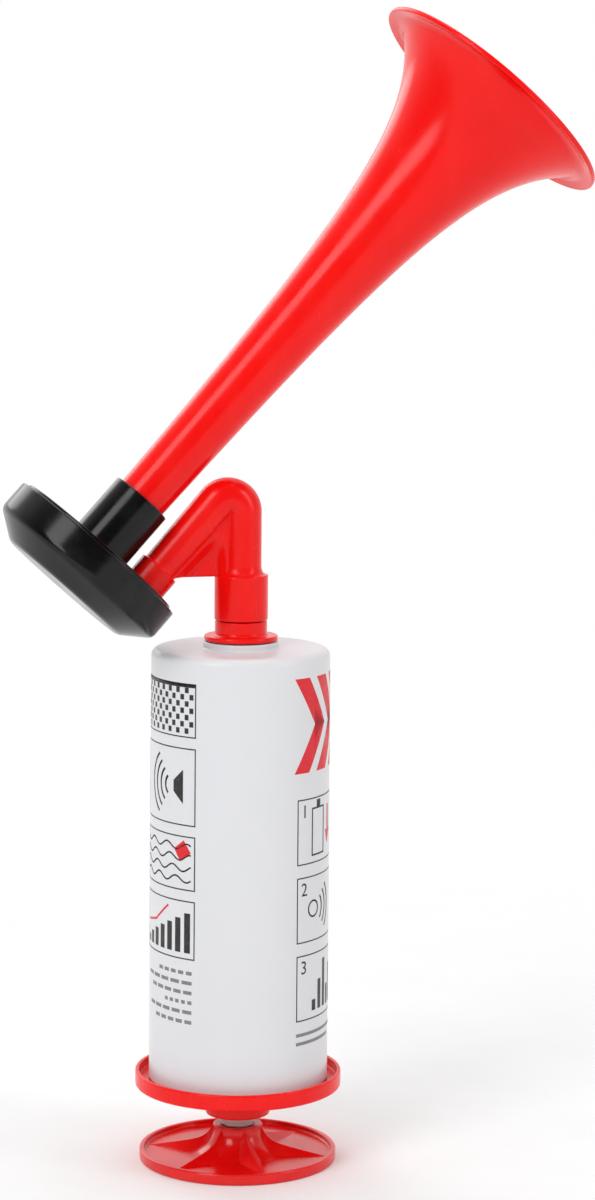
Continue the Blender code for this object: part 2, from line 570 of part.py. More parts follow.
def make_diaphragm_stack(film, rubber, ring_material, axis):
    """The sounding disc with the gasket above it and the clamp ring below it."""
    gasket = ring_outline(RING_INNER_R, RING_OUTER_R, GASKET_TOP - GASKET_THICKNESS, GASKET_TOP)
    disc = ring_outline(0.0, RING_OUTER_R, DIAPHRAGM_TOP - DIAPHRAGM_THICKNESS, DIAPHRAGM_TOP)
    clamp = ring_outline(RING_INNER_R, RING_OUTER_R, CLAMP_TOP - CLAMP_THICKNESS, CLAMP_TOP)
    turned("diaphragm_gasket", gasket, rubber, INNER_STEPS, axis)
    turned("diaphragm", disc, film, INNER_STEPS, axis)
    turned("clamp_ring", clamp, ring_material, INNER_STEPS, axis)


def horn_radius(height):
    """Outer radius of the horn's wall at a height along the housing's axis."""
    spread = BELL_FLARE_LENGTH / (HORN_TO_MOUTH - height + BELL_FLARE_LENGTH)
    return BELL_THROAT_R + (BELL_MOUTH_R - BELL_THROAT_R) * spread**BELL_FLARE_POWER


def horn_wall_point(height, depth):
    """Point (radius, height) at a depth under the horn's outer surface."""
    step = 0.01 * MM
    slope = (horn_radius(height + step) - horn_radius(height - step)) / (2 * step)
    length = math.hypot(1.0, slope)
    return horn_radius(height) - depth / length, height + depth * slope / length


def make_bell(material, axis):
    """Flared horn: outer wall by the flare law, turned-out rim, and an inner wall one thickness in."""
    foot = COLLAR_SOCKET_FLOOR + SEAT_GAP
    rim_back = HORN_TO_MOUTH - BELL_RIM_THICKNESS
    heights = []
    for step in range(BELL_STATIONS + 1):
        share = math.sin(math.radians(90 * step / BELL_STATIONS)) ** 0.9
        heights.append(foot + (rim_back - BELL_RIM_BEND_R / 2 - foot) * share)
    outer = [horn_wall_point(height, 0.0) for height in heights]
    inner = [horn_wall_point(height, BELL_WALL) for height in heights[:-1]]
    inner[0] = (horn_radius(foot) - BELL_WALL, foot)
    lip_r = horn_radius(rim_back) + BELL_RIM_BEND_R
    edge = BELL_RIM_THICKNESS / 3
    rim = [(lip_r, rim_back), (BELL_RIM_R - edge, rim_back - BELL_RIM_TURN_BACK)]
    rim += [(BELL_RIM_R, rim_back - BELL_RIM_TURN_BACK + edge)]
    rim += [(BELL_RIM_R, HORN_TO_MOUTH - BELL_RIM_TURN_BACK - edge)]
    rim += [(BELL_RIM_R - edge, HORN_TO_MOUTH - edge), (lip_r, HORN_TO_MOUTH)]
    return turned("horn_bell", outer + rim + inner[::-1], material, parent=axis)


def make_piston(plate_material, rubber, steel, slide):
    """Head with the rod's snap socket, cup seal, retainer plate and screw, from the head's top face."""
    core_foot = -(PISTON_PILOT_DEPTH + PISTON_SOCKET_ROOF + PISTON_SOCKET_DEPTH)
    socket_roof = core_foot + PISTON_SOCKET_DEPTH
    socket_r = ROD_R + FIT_GAP
    bead_top = socket_roof - SEAT_GAP - ROD_BEAD_FROM_TIP + FIT_GAP
    bead_bottom = bead_top - ROD_BEAD_LENGTH - 2 * FIT_GAP
    pilot_r = SCREW_R + FIT_GAP
    head = [(socket_r, core_foot), (PISTON_CORE_R, core_foot), (PISTON_CORE_R, -PISTON_THICKNESS)]
    head += [(BARREL_INNER_R - SEAT_GAP, -PISTON_THICKNESS), (BARREL_INNER_R - SEAT_GAP, 0.0)]
    head += [(pilot_r, 0.0), (pilot_r, -PISTON_PILOT_DEPTH), (0.0, -PISTON_PILOT_DEPTH)]
    head += [(0.0, socket_roof), (socket_r, socket_roof), (socket_r, bead_top)]
    head += [(socket_r + ROD_BEAD_HEIGHT, bead_top), (socket_r + ROD_BEAD_HEIGHT, bead_bottom)]
    head += [(socket_r, bead_bottom)]
    turned("piston_head", head, plate_material, INNER_STEPS, slide)
    lip_r = BARREL_INNER_R - FIT_GAP
    base_r = lip_r - 2 * CUP_LIP_WALL
    cup_top = SEAT_GAP + CUP_HEIGHT
    cup = [(pilot_r, SEAT_GAP), (base_r, SEAT_GAP), (base_r + CUP_LIP_WALL, SEAT_GAP + CUP_LIP_WALL)]
    cup += [(lip_r, cup_top - CUP_LIP_WALL), (lip_r, cup_top), (lip_r - CUP_LIP_WALL, cup_top)]
    cup += [(base_r - CUP_LIP_WALL, SEAT_GAP + 2 * CUP_BASE), (base_r - 2 * CUP_BASE, SEAT_GAP + CUP_BASE)]
    cup += [(pilot_r, SEAT_GAP + CUP_BASE)]
    turned("piston_cup", cup, rubber, INNER_STEPS, slide)
    plate_bottom = 2 * SEAT_GAP + CUP_BASE
    plate_top = plate_bottom + RETAINER_THICKNESS
    plate = ring_outline(pilot_r, RETAINER_R, plate_bottom, plate_top, RETAINER_THICKNESS / 4)
    turned("cup_retainer", plate, plate_material, INNER_STEPS, slide)
    head_bottom = plate_top + SEAT_GAP
    head_top = head_bottom + SCREW_HEAD_HEIGHT
    tip = -PISTON_PILOT_DEPTH + SCREW_TIP_GAP
    screw = [(0.0, tip), (SCREW_R / 2, tip), (SCREW_R, tip + SCREW_R / 2), (SCREW_R, head_bottom)]
    screw += [(SCREW_HEAD_R, head_bottom), (SCREW_HEAD_R, head_bottom + SCREW_HEAD_HEIGHT / 2)]
    screw += [(SCREW_HEAD_R * 0.7, head_top), (0.0, head_top)]
    turned("piston_screw", screw, steel, SMALL_STEPS, slide)


def build():
    clear_scene()
    red = plastic("red_gloss_plastic", (0.86, 0.012, 0.008), 0.22)
    black = plastic("black_gloss_plastic", (0.012, 0.012, 0.013), 0.28)
    white = plastic("white_gloss_plastic", (0.80, 0.80, 0.82), 0.3)
    natural = plastic("natural_plastic", (0.75, 0.70, 0.68), 0.35, see_through=0.5)
    film = plastic("diaphragm_film", (0.78, 0.76, 0.70), 0.4)
    rubber = plastic("black_rubber", (0.02, 0.02, 0.02), 0.7)
    steel = plastic("screw_steel", (0.6, 0.6, 0.62), 0.3, metallic=1.0)

    make_cap(red)
    make_guide(natural)
    make_barrel(white)
    make_neck(red)
    make_neck_seals(rubber, white)

    swivel = add_empty("horn_swivel_axis", (0.0, 0.0, SWIVEL_Z))
    make_elbow(red, swivel)
    down_leg = Vector((math.sin(HORN_TILT), 0.0, math.cos(HORN_TILT))) * LEG_TO_HOUSING
    duct = Vector((math.cos(HORN_TILT), 0.0, -math.sin(HORN_TILT))) * DUCT_OFFSET
    centre = Vector((0.0, 0.0, ELBOW_CORNER_RISE)) - down_leg - duct
    axis = add_empty("horn_axis", centre, swivel, HORN_TILT)
    make_lid(black, axis)
    make_cover(black, axis)
    make_diaphragm_stack(film, rubber, black, axis)
    make_bell(red, axis)

    slide = add_empty("plunger_slide_axis", (0.0, 0.0, PISTON_TOP_Z))
    make_piston(white, rubber, steel, slide)
    handle_axis = add_empty("handle_turn_axis", (0.0, 0.0, 0.0))
    make_rod(natural, handle_axis)
    make_handle(red, handle_axis)


build()
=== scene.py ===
"""Hand pump air horn: moulded plastic pieces, their finishes and the printed barrel, in a white studio.

Metres, +Z up. Sizes repeat those of the solids; every new piece stands where its solid stands.
"""

import math

import bmesh
import bpy
from mathutils import Matrix, Vector


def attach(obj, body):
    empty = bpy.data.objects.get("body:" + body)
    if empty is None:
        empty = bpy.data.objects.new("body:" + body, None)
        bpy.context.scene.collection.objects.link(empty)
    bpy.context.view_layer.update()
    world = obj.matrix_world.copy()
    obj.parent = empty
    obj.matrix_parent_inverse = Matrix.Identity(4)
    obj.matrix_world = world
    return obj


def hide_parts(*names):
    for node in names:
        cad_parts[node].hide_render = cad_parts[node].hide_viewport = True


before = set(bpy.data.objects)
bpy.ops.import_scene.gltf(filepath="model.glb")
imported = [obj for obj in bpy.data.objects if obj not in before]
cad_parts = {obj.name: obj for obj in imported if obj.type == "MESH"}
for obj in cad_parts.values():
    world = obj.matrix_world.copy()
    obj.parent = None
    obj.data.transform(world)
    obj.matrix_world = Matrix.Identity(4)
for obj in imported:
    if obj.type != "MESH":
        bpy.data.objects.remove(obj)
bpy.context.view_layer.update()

MM = 0.001
MERGE = 0.000004
SHARP_ANGLE = math.radians(38.0)
FINE_STEPS = 160
SMALL_STEPS = 72
ROUNDING_STEPS = 4
CREASE_KEEP = 1.1

# Pull handle, rod and guide
HANDLE_R = 27.5 * MM
HANDLE_RIM_HEIGHT = 3.0 * MM
HANDLE_RIM_WALL = 1.3 * MM
HANDLE_FLOOR = 1.6 * MM
HUB_HEIGHT = 9.4 * MM
HUB_R = 6.8 * MM
HUB_FLARE_R = 7.0 * MM
ROD_SOCKET_FLOOR = 2.7 * MM
ROD_SOCKET_R = 4.2 * MM
RIB_COUNT = 6
RIB_FIRST_ANGLE = math.radians(34.0)
RIB_TIP_R = 25.3 * MM
RIB_SLOPE = 0.19
RIB_HALF_WIDTH_SLOPE = 0.235
RIB_ROOT_RISE = 4.0 * MM
RIB_ROOT_FADE = 1.8 * MM
RIB_TOP = 8.8 * MM
RIB_STATIONS = 26
RIB_TIP_SHARE = 0.985
RIB_RIDGE_HALF = 0.14 * MM
RIB_RIDGE_SHARE = 0.2
ROD_R = 4.0 * MM
ROD_INNER_R = 2.8 * MM
ROD_FOOT_Z = 3.0 * MM
ROD_LENGTH = 114.0 * MM
BEAD_R = ROD_R + 0.5 * MM
BEAD_FOOT, BEAD_TOP = 3.6 * MM, 2.0 * MM
BEAD_SLOPE = 0.5 * MM
GUIDE_FOOT_Z = 9.7 * MM
GUIDE_BORE_R = 4.15 * MM
GUIDE_NOSE_R = 5.0 * MM
GUIDE_NOSE_TOP_Z = 11.0 * MM
GUIDE_NOSE_FLATS = 8
GUIDE_BODY_R = 6.4 * MM
GUIDE_BODY_TOP_Z = 23.0 * MM
GUIDE_FLANGE_R = 8.5 * MM
GUIDE_TOP_Z = 24.3 * MM

# Cap and barrel
CAP_FLOOR_Z = 20.7 * MM
CAP_R = 28.8 * MM
CAP_LIP_HEIGHT = 4.4 * MM
CAP_LIP_WALL = 1.1 * MM
CAP_FLOOR = 2.0 * MM
CAP_BOSS_R = 9.0 * MM
CAP_BOSS_DROP = 8.2 * MM
CAP_BORE_R = 6.6 * MM
CAP_PLUG_R = 23.3 * MM
CAP_PLUG_WALL = 1.5 * MM
CAP_PLUG_TOP = 10.0 * MM
VENT_COUNT = 4
VENT_R = 1.5 * MM
VENT_CIRCLE_R = 15.0 * MM
BARREL_FOOT_Z = 23.0 * MM
BARREL_TOP_Z = 143.6 * MM
BARREL_R = 25.0 * MM
BARREL_WALL = 1.5 * MM
BARREL_ROOF = 2.0 * MM
BARREL_EDGE_R = 2.3 * MM
BARREL_BOSS_R = 10.6 * MM
BARREL_BOSS_TOP_Z = 145.4 * MM
BARREL_HOLE_R = 6.2 * MM

# Outlet neck
NECK_SEAT_Z = 145.7 * MM
NECK_STEM_FOOT_Z = 135.7 * MM
NECK_STEM_R = 6.0 * MM
NECK_BORE_R = 3.5 * MM
NECK_FLANGE_R = 10.3 * MM
NECK_FLANGE_TOP_Z = 147.1 * MM
NECK_RING_R = 7.3 * MM
NECK_RING_TOP_Z = 151.1 * MM
SPIGOT_R = 5.5 * MM
SPIGOT_TOP_Z = 161.7 * MM
O_RING_Z = 157.2 * MM
O_RING_GROOVE = 0.65 * MM
O_RING_GROOVE_R = 4.4 * MM

# Elbow, from the swivel seam
SWIVEL_Z = 151.4 * MM
HORN_TILT = math.radians(42.0)
CORNER_RISE = 40.8 * MM
BEND_R = 4.1 * MM
TUBE_R = 5.6 * MM
LEG_R = 5.1 * MM
ELBOW_BORE_R = 3.4 * MM
SOCKET_R = 7.5 * MM
SOCKET_HEIGHT = 12.6 * MM
SOCKET_FILLET = 2.6 * MM
SOCKET_FILLET_STEPS = 8
SOCKET_BORE_R = 5.7 * MM
SOCKET_DEPTH = 10.6 * MM
ELBOW_BOSS_R = 5.9 * MM
ELBOW_BOSS_LENGTH = 6.2 * MM
ELBOW_POCKET_R = 4.0 * MM
ELBOW_POCKET_DEPTH = 5.4 * MM
ELBOW_EDGE = 0.4 * MM
ELBOW_STEPS = 64
BEND_STEPS = 28
WEB_HALF = 1.0 * MM
WEB_BOTTOM = 12.2 * MM
WEB_FILLET = 3.2 * MM
WEB_FILLET_RISE = 2.4 * MM
WEB_EDGE_R = 0.55 * MM
WEB_SINK = 1.15 * MM
WEB_CROTCH_BLEND = 2.4 * MM
WEB_ROOT = 3.6 * MM
WEB_TOP_RISE = 0.1 * MM
WEB_COLUMNS, WEB_ROWS = 56, 90
WEB_ROW_CROWDING = 1.5

# Diaphragm housing and horn, from the plane of the cover's rim
LEG_TO_HOUSING = 42.2 * MM
DUCT_OFFSET = 16.9 * MM
LID_PROUD = 0.8 * MM
LID_THICKNESS = 2.4 * MM
LID_R = 25.65 * MM
COLLAR_R = 8.8 * MM
COLLAR_TOP = 18.4 * MM
COLLAR_SOCKET_FLOOR = 4.4 * MM
THROAT_R = 5.0 * MM
NOZZLE_R = 6.2 * MM
NOZZLE_TIP = -5.0 * MM
RING_INNER_R = 20.85 * MM
RING_OUTER_R = 23.45 * MM
SKIRT_FOOT = -3.6 * MM
NIPPLE_R = 3.8 * MM
NIPPLE_BORE_R = 2.4 * MM
NIPPLE_TOP = 6.2 * MM
COVER_R = 27.5 * MM
COVER_INNER_R = 25.85 * MM
COVER_DEPTH = 14.5 * MM
COVER_RIM_DEPTH = 8.8 * MM
COVER_FLAT_R = 19.5 * MM
COVER_FLOOR = 2.0 * MM
COVER_SHELF = -7.4 * MM
HORN_TO_MOUTH = 170.0 * MM
BELL_FOOT = 4.7 * MM
BELL_THROAT_R = 5.14 * MM
BELL_MOUTH_R = 34.67 * MM
BELL_FLARE_LENGTH = 36.2 * MM
BELL_FLARE_POWER = 1.59
BELL_WALL = 1.4 * MM
BELL_RIM_R = 37.74 * MM
BELL_RIM_THICKNESS = 1.5 * MM
BELL_RIM_TURN_BACK = 0.7 * MM
BELL_RIM_BEND_R = 1.6 * MM
BELL_RIM_EDGE = 0.42 * BELL_RIM_THICKNESS
BELL_STATIONS = 90

BEND_ANGLE = math.pi - HORN_TILT
HALF_CROTCH = HORN_TILT / 2
UP_LENGTH = CORNER_RISE - BEND_R / math.tan(HALF_CROTCH)
BEND_LENGTH = BEND_R * BEND_ANGLE
DOWN_START = UP_LENGTH + BEND_LENGTH
SEAT_GAP = 0.3 * MM
ELBOW_END = DOWN_START + LEG_TO_HOUSING - (CORNER_RISE - UP_LENGTH) - LID_PROUD - SEAT_GAP

ALONG_HORN = Vector((math.sin(HORN_TILT), 0.0, math.cos(HORN_TILT)))
ACROSS_HOUSING = Vector((math.cos(HORN_TILT), 0.0, -math.sin(HORN_TILT)))
ELBOW_CORNER = Vector((0.0, 0.0, SWIVEL_Z + CORNER_RISE))
HOUSING_CENTRE = ELBOW_CORNER - ALONG_HORN * LEG_TO_HOUSING - ACROSS_HOUSING * DUCT_OFFSET
HOUSING_PLACE = Matrix.Translation(HOUSING_CENTRE) @ Matrix.Rotation(HORN_TILT, 4, "Y")
ELBOW_PLACE = Matrix.Translation((0.0, 0.0, SWIVEL_Z))

# Printed sheet round the barrel: lengths along it start at the seam's middle, in millimetres
PRINT_SEAM_ANGLE = math.radians(-105.0)
PRINT_PROUD = 0.03 * MM
PRINT_CUT = 0.8


# Finishes


def node(tree, kind, settings=None, **sockets):
    """A shader node; sockets take a value or another node's output."""
    made = tree.nodes.new("ShaderNode" + kind)
    for name, value in (settings or {}).items():
        setattr(made, name, value)
    for name, value in sockets.items():
        socket = made.inputs[int(name[1:])] if name[0] == "i" and name[1:].isdigit() else made.inputs[name]
        if isinstance(value, bpy.types.NodeSocket):
            tree.links.new(value, socket)
        else:
            socket.default_value = value
    return made


def stretched(tree, scale):
    """Object coordinates, stretched per axis."""
    place = node(tree, "TexCoord").outputs["Object"]
    return node(tree, "Mapping", i0=place, i3=scale).outputs[0]


def noise(tree, scale, detail=3.0, stretch=(1.0, 1.0, 1.0), roughness=0.5):
    """Fine noise on Object coordinates, as a value from 0 to 1."""
    place = stretched(tree, stretch)
    return node(tree, "TexNoise", i2=scale, i3=detail, i4=roughness, Vector=place).outputs[0]


def spread(tree, value, low, high, from_low=0.3, from_high=0.7):
    """Maps a value onto a range, held at both ends."""
    return node(
        tree, "MapRange", i0=value, i1=from_low, i2=from_high, i3=low, i4=high,
    ).outputs[0]


def blend_colour(tree, share, first, second):
    """Mixes two colours, each a tuple or an output."""
    made = node(tree, "Mix", {"data_type": "RGBA"})
    for index, value in ((0, share), (6, first), (7, second)):
        socket = made.inputs[index]
        if isinstance(value, bpy.types.NodeSocket):
            tree.links.new(value, socket)
        else:
            socket.default_value = value if index == 0 else (*value, 1.0)
    return made.outputs[2]


def combine_values(tree, operation, first, second):
    return node(tree, "Math", {"operation": operation}, i0=first, i1=second).outputs[0]


def new_finish(name, **constants):
    material = bpy.data.materials.new(name)
    material.use_nodes = True
    shader = material.node_tree.nodes["Principled BSDF"]
    for label, value in constants.items():
        shader.inputs[label.replace("_", " ")].default_value = value
    return material, material.node_tree, shader


def wear_share(tree, amount):
    """Share of edge wear: outer edges, broken up so that it isn't even."""
    edge = spread(tree, node(tree, "NewGeometry").outputs["Pointiness"], 0.0, 1.0, 0.53, 0.62)
    patches = spread(tree, noise(tree, 240.0, 4.0), 0.0, 1.0, 0.42, 0.68)
    return combine_values(tree, "MULTIPLY", combine_values(tree, "MULTIPLY", edge, patches), amount)


def moulded_plastic(
    name, colour, pale, deep, roughness, skin=1.0, wear=0.35, mottle=1.0, grain=(1.0, 1.0, 1.0),
    handling=(0.8, 1.3), **constants
):
    """Glossy moulding: uneven dye, flow marks, fine rubs, a slightly rippled skin and pale edges."""
    material, tree, shader = new_finish(name, **constants)
    dye = blend_colour(tree, spread(tree, noise(tree, 55.0, 2.0), 0.0, 1.0), deep, colour)
    flow = spread(tree, noise(tree, 130.0, 3.0, grain), 0.0, 0.22 * mottle, 0.45, 0.75)
    dye = blend_colour(tree, flow, dye, pale)
    dust = spread(tree, noise(tree, 2600.0, 1.0), 0.0, 0.3 * mottle, 0.74, 0.8)
    dye = blend_colour(tree, dust, dye, pale)
    tree.links.new(blend_colour(tree, wear_share(tree, wear), dye, pale), shader.inputs["Base Color"])
    handled = spread(tree, noise(tree, 90.0, 4.0), roughness * handling[0], roughness * handling[1])
    rubs = spread(tree, noise(tree, 700.0, 2.0, (1.0, 1.0, 0.05)), 0.0, 0.03 * mottle, 0.55, 0.7)
    tree.links.new(combine_values(tree, "ADD", handled, rubs), shader.inputs["Roughness"])
    ripple = noise(tree, 150.0, 2.0, grain)
    fine = noise(tree, 1900.0, 2.0)
    height = combine_values(tree, "ADD", ripple, combine_values(tree, "MULTIPLY", fine, 0.12))
    bump = node(tree, "Bump", Strength=0.22 * skin, Distance=0.00025, Height=height)
    tree.links.new(bump.outputs[0], shader.inputs["Normal"])
    return material


def printed_ink(name, colour, pale):
    """Screen-printed ink: slightly mottled, with pinholes and a faint relief."""
    material, tree, shader = new_finish(name, Specular_IOR_Level=0.35)
    mottle = spread(tree, noise(tree, 900.0, 3.0), 0.0, 0.35, 0.5, 0.75)
    pinholes = spread(tree, noise(tree, 3800.0, 1.0), 0.0, 0.5, 0.72, 0.8)
    share = combine_values(tree, "MAXIMUM", mottle, pinholes)
    tree.links.new(blend_colour(tree, share, colour, pale), shader.inputs["Base Color"])
    tree.links.new(spread(tree, noise(tree, 400.0, 3.0), 0.32, 0.5), shader.inputs["Roughness"])
    bump = node(tree, "Bump", Strength=0.15, Distance=0.00003, Height=noise(tree, 2500.0, 3.0))
    tree.links.new(bump.outputs[0], shader.inputs["Normal"])
    return material


def turned_steel(name):
    """Plated screw: fine turning rings and small dull patches."""
    material, tree, shader = new_finish(name, Metallic=1.0)
    patches = spread(tree, noise(tree, 500.0, 4.0), 0.0, 1.0)
    plating = blend_colour(tree, patches, (0.42, 0.42, 0.44), (0.66, 0.66, 0.68))
    tree.links.new(plating, shader.inputs["Base Color"])
    rings = node(
        tree, "TexWave", {"wave_type": "RINGS", "rings_direction": "Z"},
        Vector=stretched(tree, (1.0, 1.0, 1.0)), Scale=900.0, Distortion=0.6,
    ).outputs[1]
    tree.links.new(spread(tree, rings, 0.22, 0.4, 0.0, 1.0), shader.inputs["Roughness"])
    bump = node(tree, "Bump", Strength=0.3, Distance=0.00003, Height=rings)
    tree.links.new(bump.outputs[0], shader.inputs["Normal"])
    return material


RED, RED_PALE, RED_DEEP = (0.90, 0.004, 0.003), (0.93, 0.024, 0.016), (0.84, 0.003, 0.002)
BLACK, BLACK_PALE, BLACK_DEEP = (0.0042, 0.0039, 0.0042), (0.035, 0.034, 0.035), (0.003, 0.0028, 0.003)
WHITE, WHITE_PALE, WHITE_DEEP = (0.72, 0.726, 0.748), (0.75, 0.755, 0.775), (0.712, 0.718, 0.74)
MILKY, MILKY_PALE, MILKY_DEEP = (0.88, 0.76, 0.73), (0.93, 0.88, 0.86), (0.80, 0.66, 0.63)
RUBBER, RUBBER_PALE, RUBBER_DEEP = (0.02, 0.02, 0.021), (0.075, 0.073, 0.07), (0.012, 0.012, 0.012)
FILM, FILM_PALE, FILM_DEEP = (0.78, 0.76, 0.70), (0.86, 0.85, 0.81), (0.70, 0.67, 0.6)

horn_red = moulded_plastic(
    "horn_red_gloss", RED, RED_PALE, RED_DEEP, 0.2, skin=0.6, grain=(1, 1, 0.25), Specular_IOR_Level=0.26,
)
pipe_red = moulded_plastic(
    "pipe_red_gloss", RED, RED_PALE, RED_DEEP, 0.23, grain=(1, 1, 0.5), Specular_IOR_Level=0.26,
)
cap_red = moulded_plastic("cap_red_gloss", RED, RED_PALE, RED_DEEP, 0.26, Specular_IOR_Level=0.26)
handle_red = moulded_plastic(
    "handle_red_gloss", (0.80, 0.005, 0.005), RED_PALE, (0.72, 0.004, 0.004), 0.2, Specular_IOR_Level=0.5,
)
housing_black = moulded_plastic(
    "housing_black_gloss", BLACK, BLACK_PALE, BLACK_DEEP, 0.17, skin=0.5, wear=0.4, Specular_IOR_Level=0.28,
)
barrel_white = moulded_plastic(
    "barrel_white_gloss", WHITE, WHITE_PALE, WHITE_DEEP, 0.3, skin=0.1, mottle=0.3, grain=(1, 1, 0.15),
    handling=(0.95, 1.06), Specular_IOR_Level=0.35,
)
inner_white = moulded_plastic("inner_white_plastic", WHITE, WHITE_PALE, WHITE_DEEP, 0.38)
milky = moulded_plastic(
    "milky_natural_plastic", MILKY, MILKY_PALE, MILKY_DEEP, 0.2, wear=0.2,
    Transmission_Weight=0.5, IOR=1.45,
)
seal_rubber = moulded_plastic("seal_black_rubber", RUBBER, RUBBER_PALE, RUBBER_DEEP, 0.62, skin=2.0, wear=0.7)
disc_film = moulded_plastic("diaphragm_milky_film", FILM, FILM_PALE, FILM_DEEP, 0.36, Transmission_Weight=0.2)
screw_steel = turned_steel("screw_plated_steel")
ink_black = printed_ink("label_ink_black", (0.022, 0.021, 0.022), (0.11, 0.11, 0.115))
ink_grey = printed_ink("label_ink_grey", (0.2, 0.2, 0.21), (0.4, 0.4, 0.41))
ink_red = printed_ink("label_ink_red", (0.70, 0.012, 0.022), (0.8, 0.06, 0.06))


# Shaping


def rounded(corners, steps=ROUNDING_STEPS):
    """Outline points from corners (x, y) or (x, y, rounding), with each rounded corner drawn as a curve.

    A point just outside each curve keeps the flat next to it flat in the shading.
    """
    points = []
    for index, corner in enumerate(corners):
        here = Vector(corner[:2])
        if len(corner) < 3:
            points.append(tuple(here))
            continue
        before = Vector(corners[index - 1][:2]) - here
        after = Vector(corners[(index + 1) % len(corners)][:2]) - here
        reach = min(corner[2], before.length * 0.44, after.length * 0.44)
        start, end = here + before.normalized() * reach, here + after.normalized() * reach
        points.append(tuple(here + before.normalized() * reach * CREASE_KEEP))
        for step in range(steps + 1):
            share = step / steps
            bent = start * (1 - share) ** 2 + here * (2 * share * (1 - share)) + end * share**2
            points.append(tuple(bent))
        points.append(tuple(here + after.normalized() * reach * CREASE_KEEP))
    return points


def arc(centre_r, centre_z, radius, start, end, steps):
    """Points (radius, height) on a round stretch of an outline, angles in degrees from +radius."""
    turns = [math.radians(start + (end - start) * step / steps) for step in range(steps + 1)]
    return [(centre_r + radius * math.cos(turn), centre_z + radius * math.sin(turn)) for turn in turns]


def spin_outline(shape, outline, steps, offset=(0.0, 0.0, 0.0)):
    """Turns a closed outline of (radius, height) points about Z, or about a line beside it."""
    points = [
        shape.verts.new((radius + offset[0], offset[1], height + offset[2])) for radius, height in outline
    ]
    edges = []
    for first, second in zip(points, points[1:] + points[:1]):
        if max(first.co.x - offset[0], second.co.x - offset[0]) > MERGE:
            edges.append(shape.edges.new((first, second)))
    bmesh.ops.spin(
        shape, geom=points + edges, cent=offset, axis=(0, 0, 1), angle=math.tau, steps=steps, use_merge=True,
    )


def finished(shape, name, material, place=None):
    """Cleans a bmesh, puts it in its place and makes it an object at the origin."""
    bmesh.ops.remove_doubles(shape, verts=shape.verts, dist=MERGE)
    bmesh.ops.dissolve_degenerate(shape, edges=shape.edges, dist=MERGE / 4)
    if place is not None:
        bmesh.ops.transform(shape, matrix=place, verts=shape.verts)
    bmesh.ops.recalc_face_normals(shape, faces=shape.faces)
    mesh = bpy.data.meshes.new(name)
    shape.to_mesh(mesh)
    shape.free()
    mesh.shade_smooth()
    mesh.set_sharp_from_angle(angle=SHARP_ANGLE)
    mesh.materials.append(material)
    piece = bpy.data.objects.new(name, mesh)
    bpy.context.scene.collection.objects.link(piece)
    return piece


def turned(name, outline, material, steps=FINE_STEPS, place=None):
    shape = bmesh.new()
    spin_outline(shape, outline, steps)
    return finished(shape, name, material, place)


def fused(piece, tools, operation):
    """Adds or cuts tool bodies and keeps the result as the piece's own mesh."""
    for tool in tools:
        modifier = piece.modifiers.new(tool.name, "BOOLEAN")
        modifier.operation = operation
        modifier.solver = "EXACT"
        modifier.object = tool
    graph = bpy.context.evaluated_depsgraph_get()
    mesh = bpy.data.meshes.new_from_object(piece.evaluated_get(graph))
    piece.modifiers.clear()
    old, piece.data = piece.data, mesh
    bpy.data.meshes.remove(old)
    mesh.name = piece.name
    for tool in tools:
        bpy.data.meshes.remove(tool.data)
    mesh.shade_smooth()
    mesh.set_sharp_from_angle(angle=SHARP_ANGLE)
    return piece


def stands_for(piece, body, cad_node):
    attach(piece, body)
    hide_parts(cad_node)
    return piece


# Horn and housing


def horn_radius(height):
    """Outer radius of the horn's wall at a height along the housing's axis."""
    reach = BELL_FLARE_LENGTH / (HORN_TO_MOUTH - height + BELL_FLARE_LENGTH)
    return BELL_THROAT_R + (BELL_MOUTH_R - BELL_THROAT_R) * reach**BELL_FLARE_POWER


def horn_wall_point(height, depth):
    """Point (radius, height) at a depth under the horn's outer surface."""
    step = 0.01 * MM
    slope = (horn_radius(height + step) - horn_radius(height - step)) / (2 * step)
    length = math.hypot(1.0, slope)
    return horn_radius(height) - depth / length, height + depth * slope / length


def make_horn():
    """Flared horn whose wall turns out into a flat rim with rounded edges."""
    rim_back = HORN_TO_MOUTH - BELL_RIM_THICKNESS
    top = rim_back - BELL_RIM_BEND_R / 2
    shares = [math.sin(math.radians(90 * step / BELL_STATIONS)) for step in range(BELL_STATIONS + 1)]
    heights = [BELL_FOOT + (top - BELL_FOOT) * share for share in shares]
    outer = [horn_wall_point(height, 0.0) for height in heights]
    inner = [horn_wall_point(height, BELL_WALL) for height in heights[:-1]]
    inner[0] = (horn_radius(BELL_FOOT) - BELL_WALL, BELL_FOOT)
    lip_r = horn_radius(rim_back) + BELL_RIM_BEND_R
    back = rim_back - BELL_RIM_TURN_BACK
    front = HORN_TO_MOUTH - BELL_RIM_TURN_BACK
    corners = [outer[-1], (lip_r - BELL_RIM_BEND_R * 0.35, rim_back, BELL_RIM_BEND_R * 0.6)]
    corners += [(BELL_RIM_R, back, BELL_RIM_EDGE), (BELL_RIM_R, front, BELL_RIM_EDGE)]
    corners += [(lip_r, HORN_TO_MOUTH, BELL_RIM_BEND_R), inner[-1]]
    rim = rounded(corners, 6)[1:-1]
    horn = turned("horn_trumpet", outer + rim + inner[::-1], horn_red, place=HOUSING_PLACE)
    return stands_for(horn, "horn_head", "horn_bell")


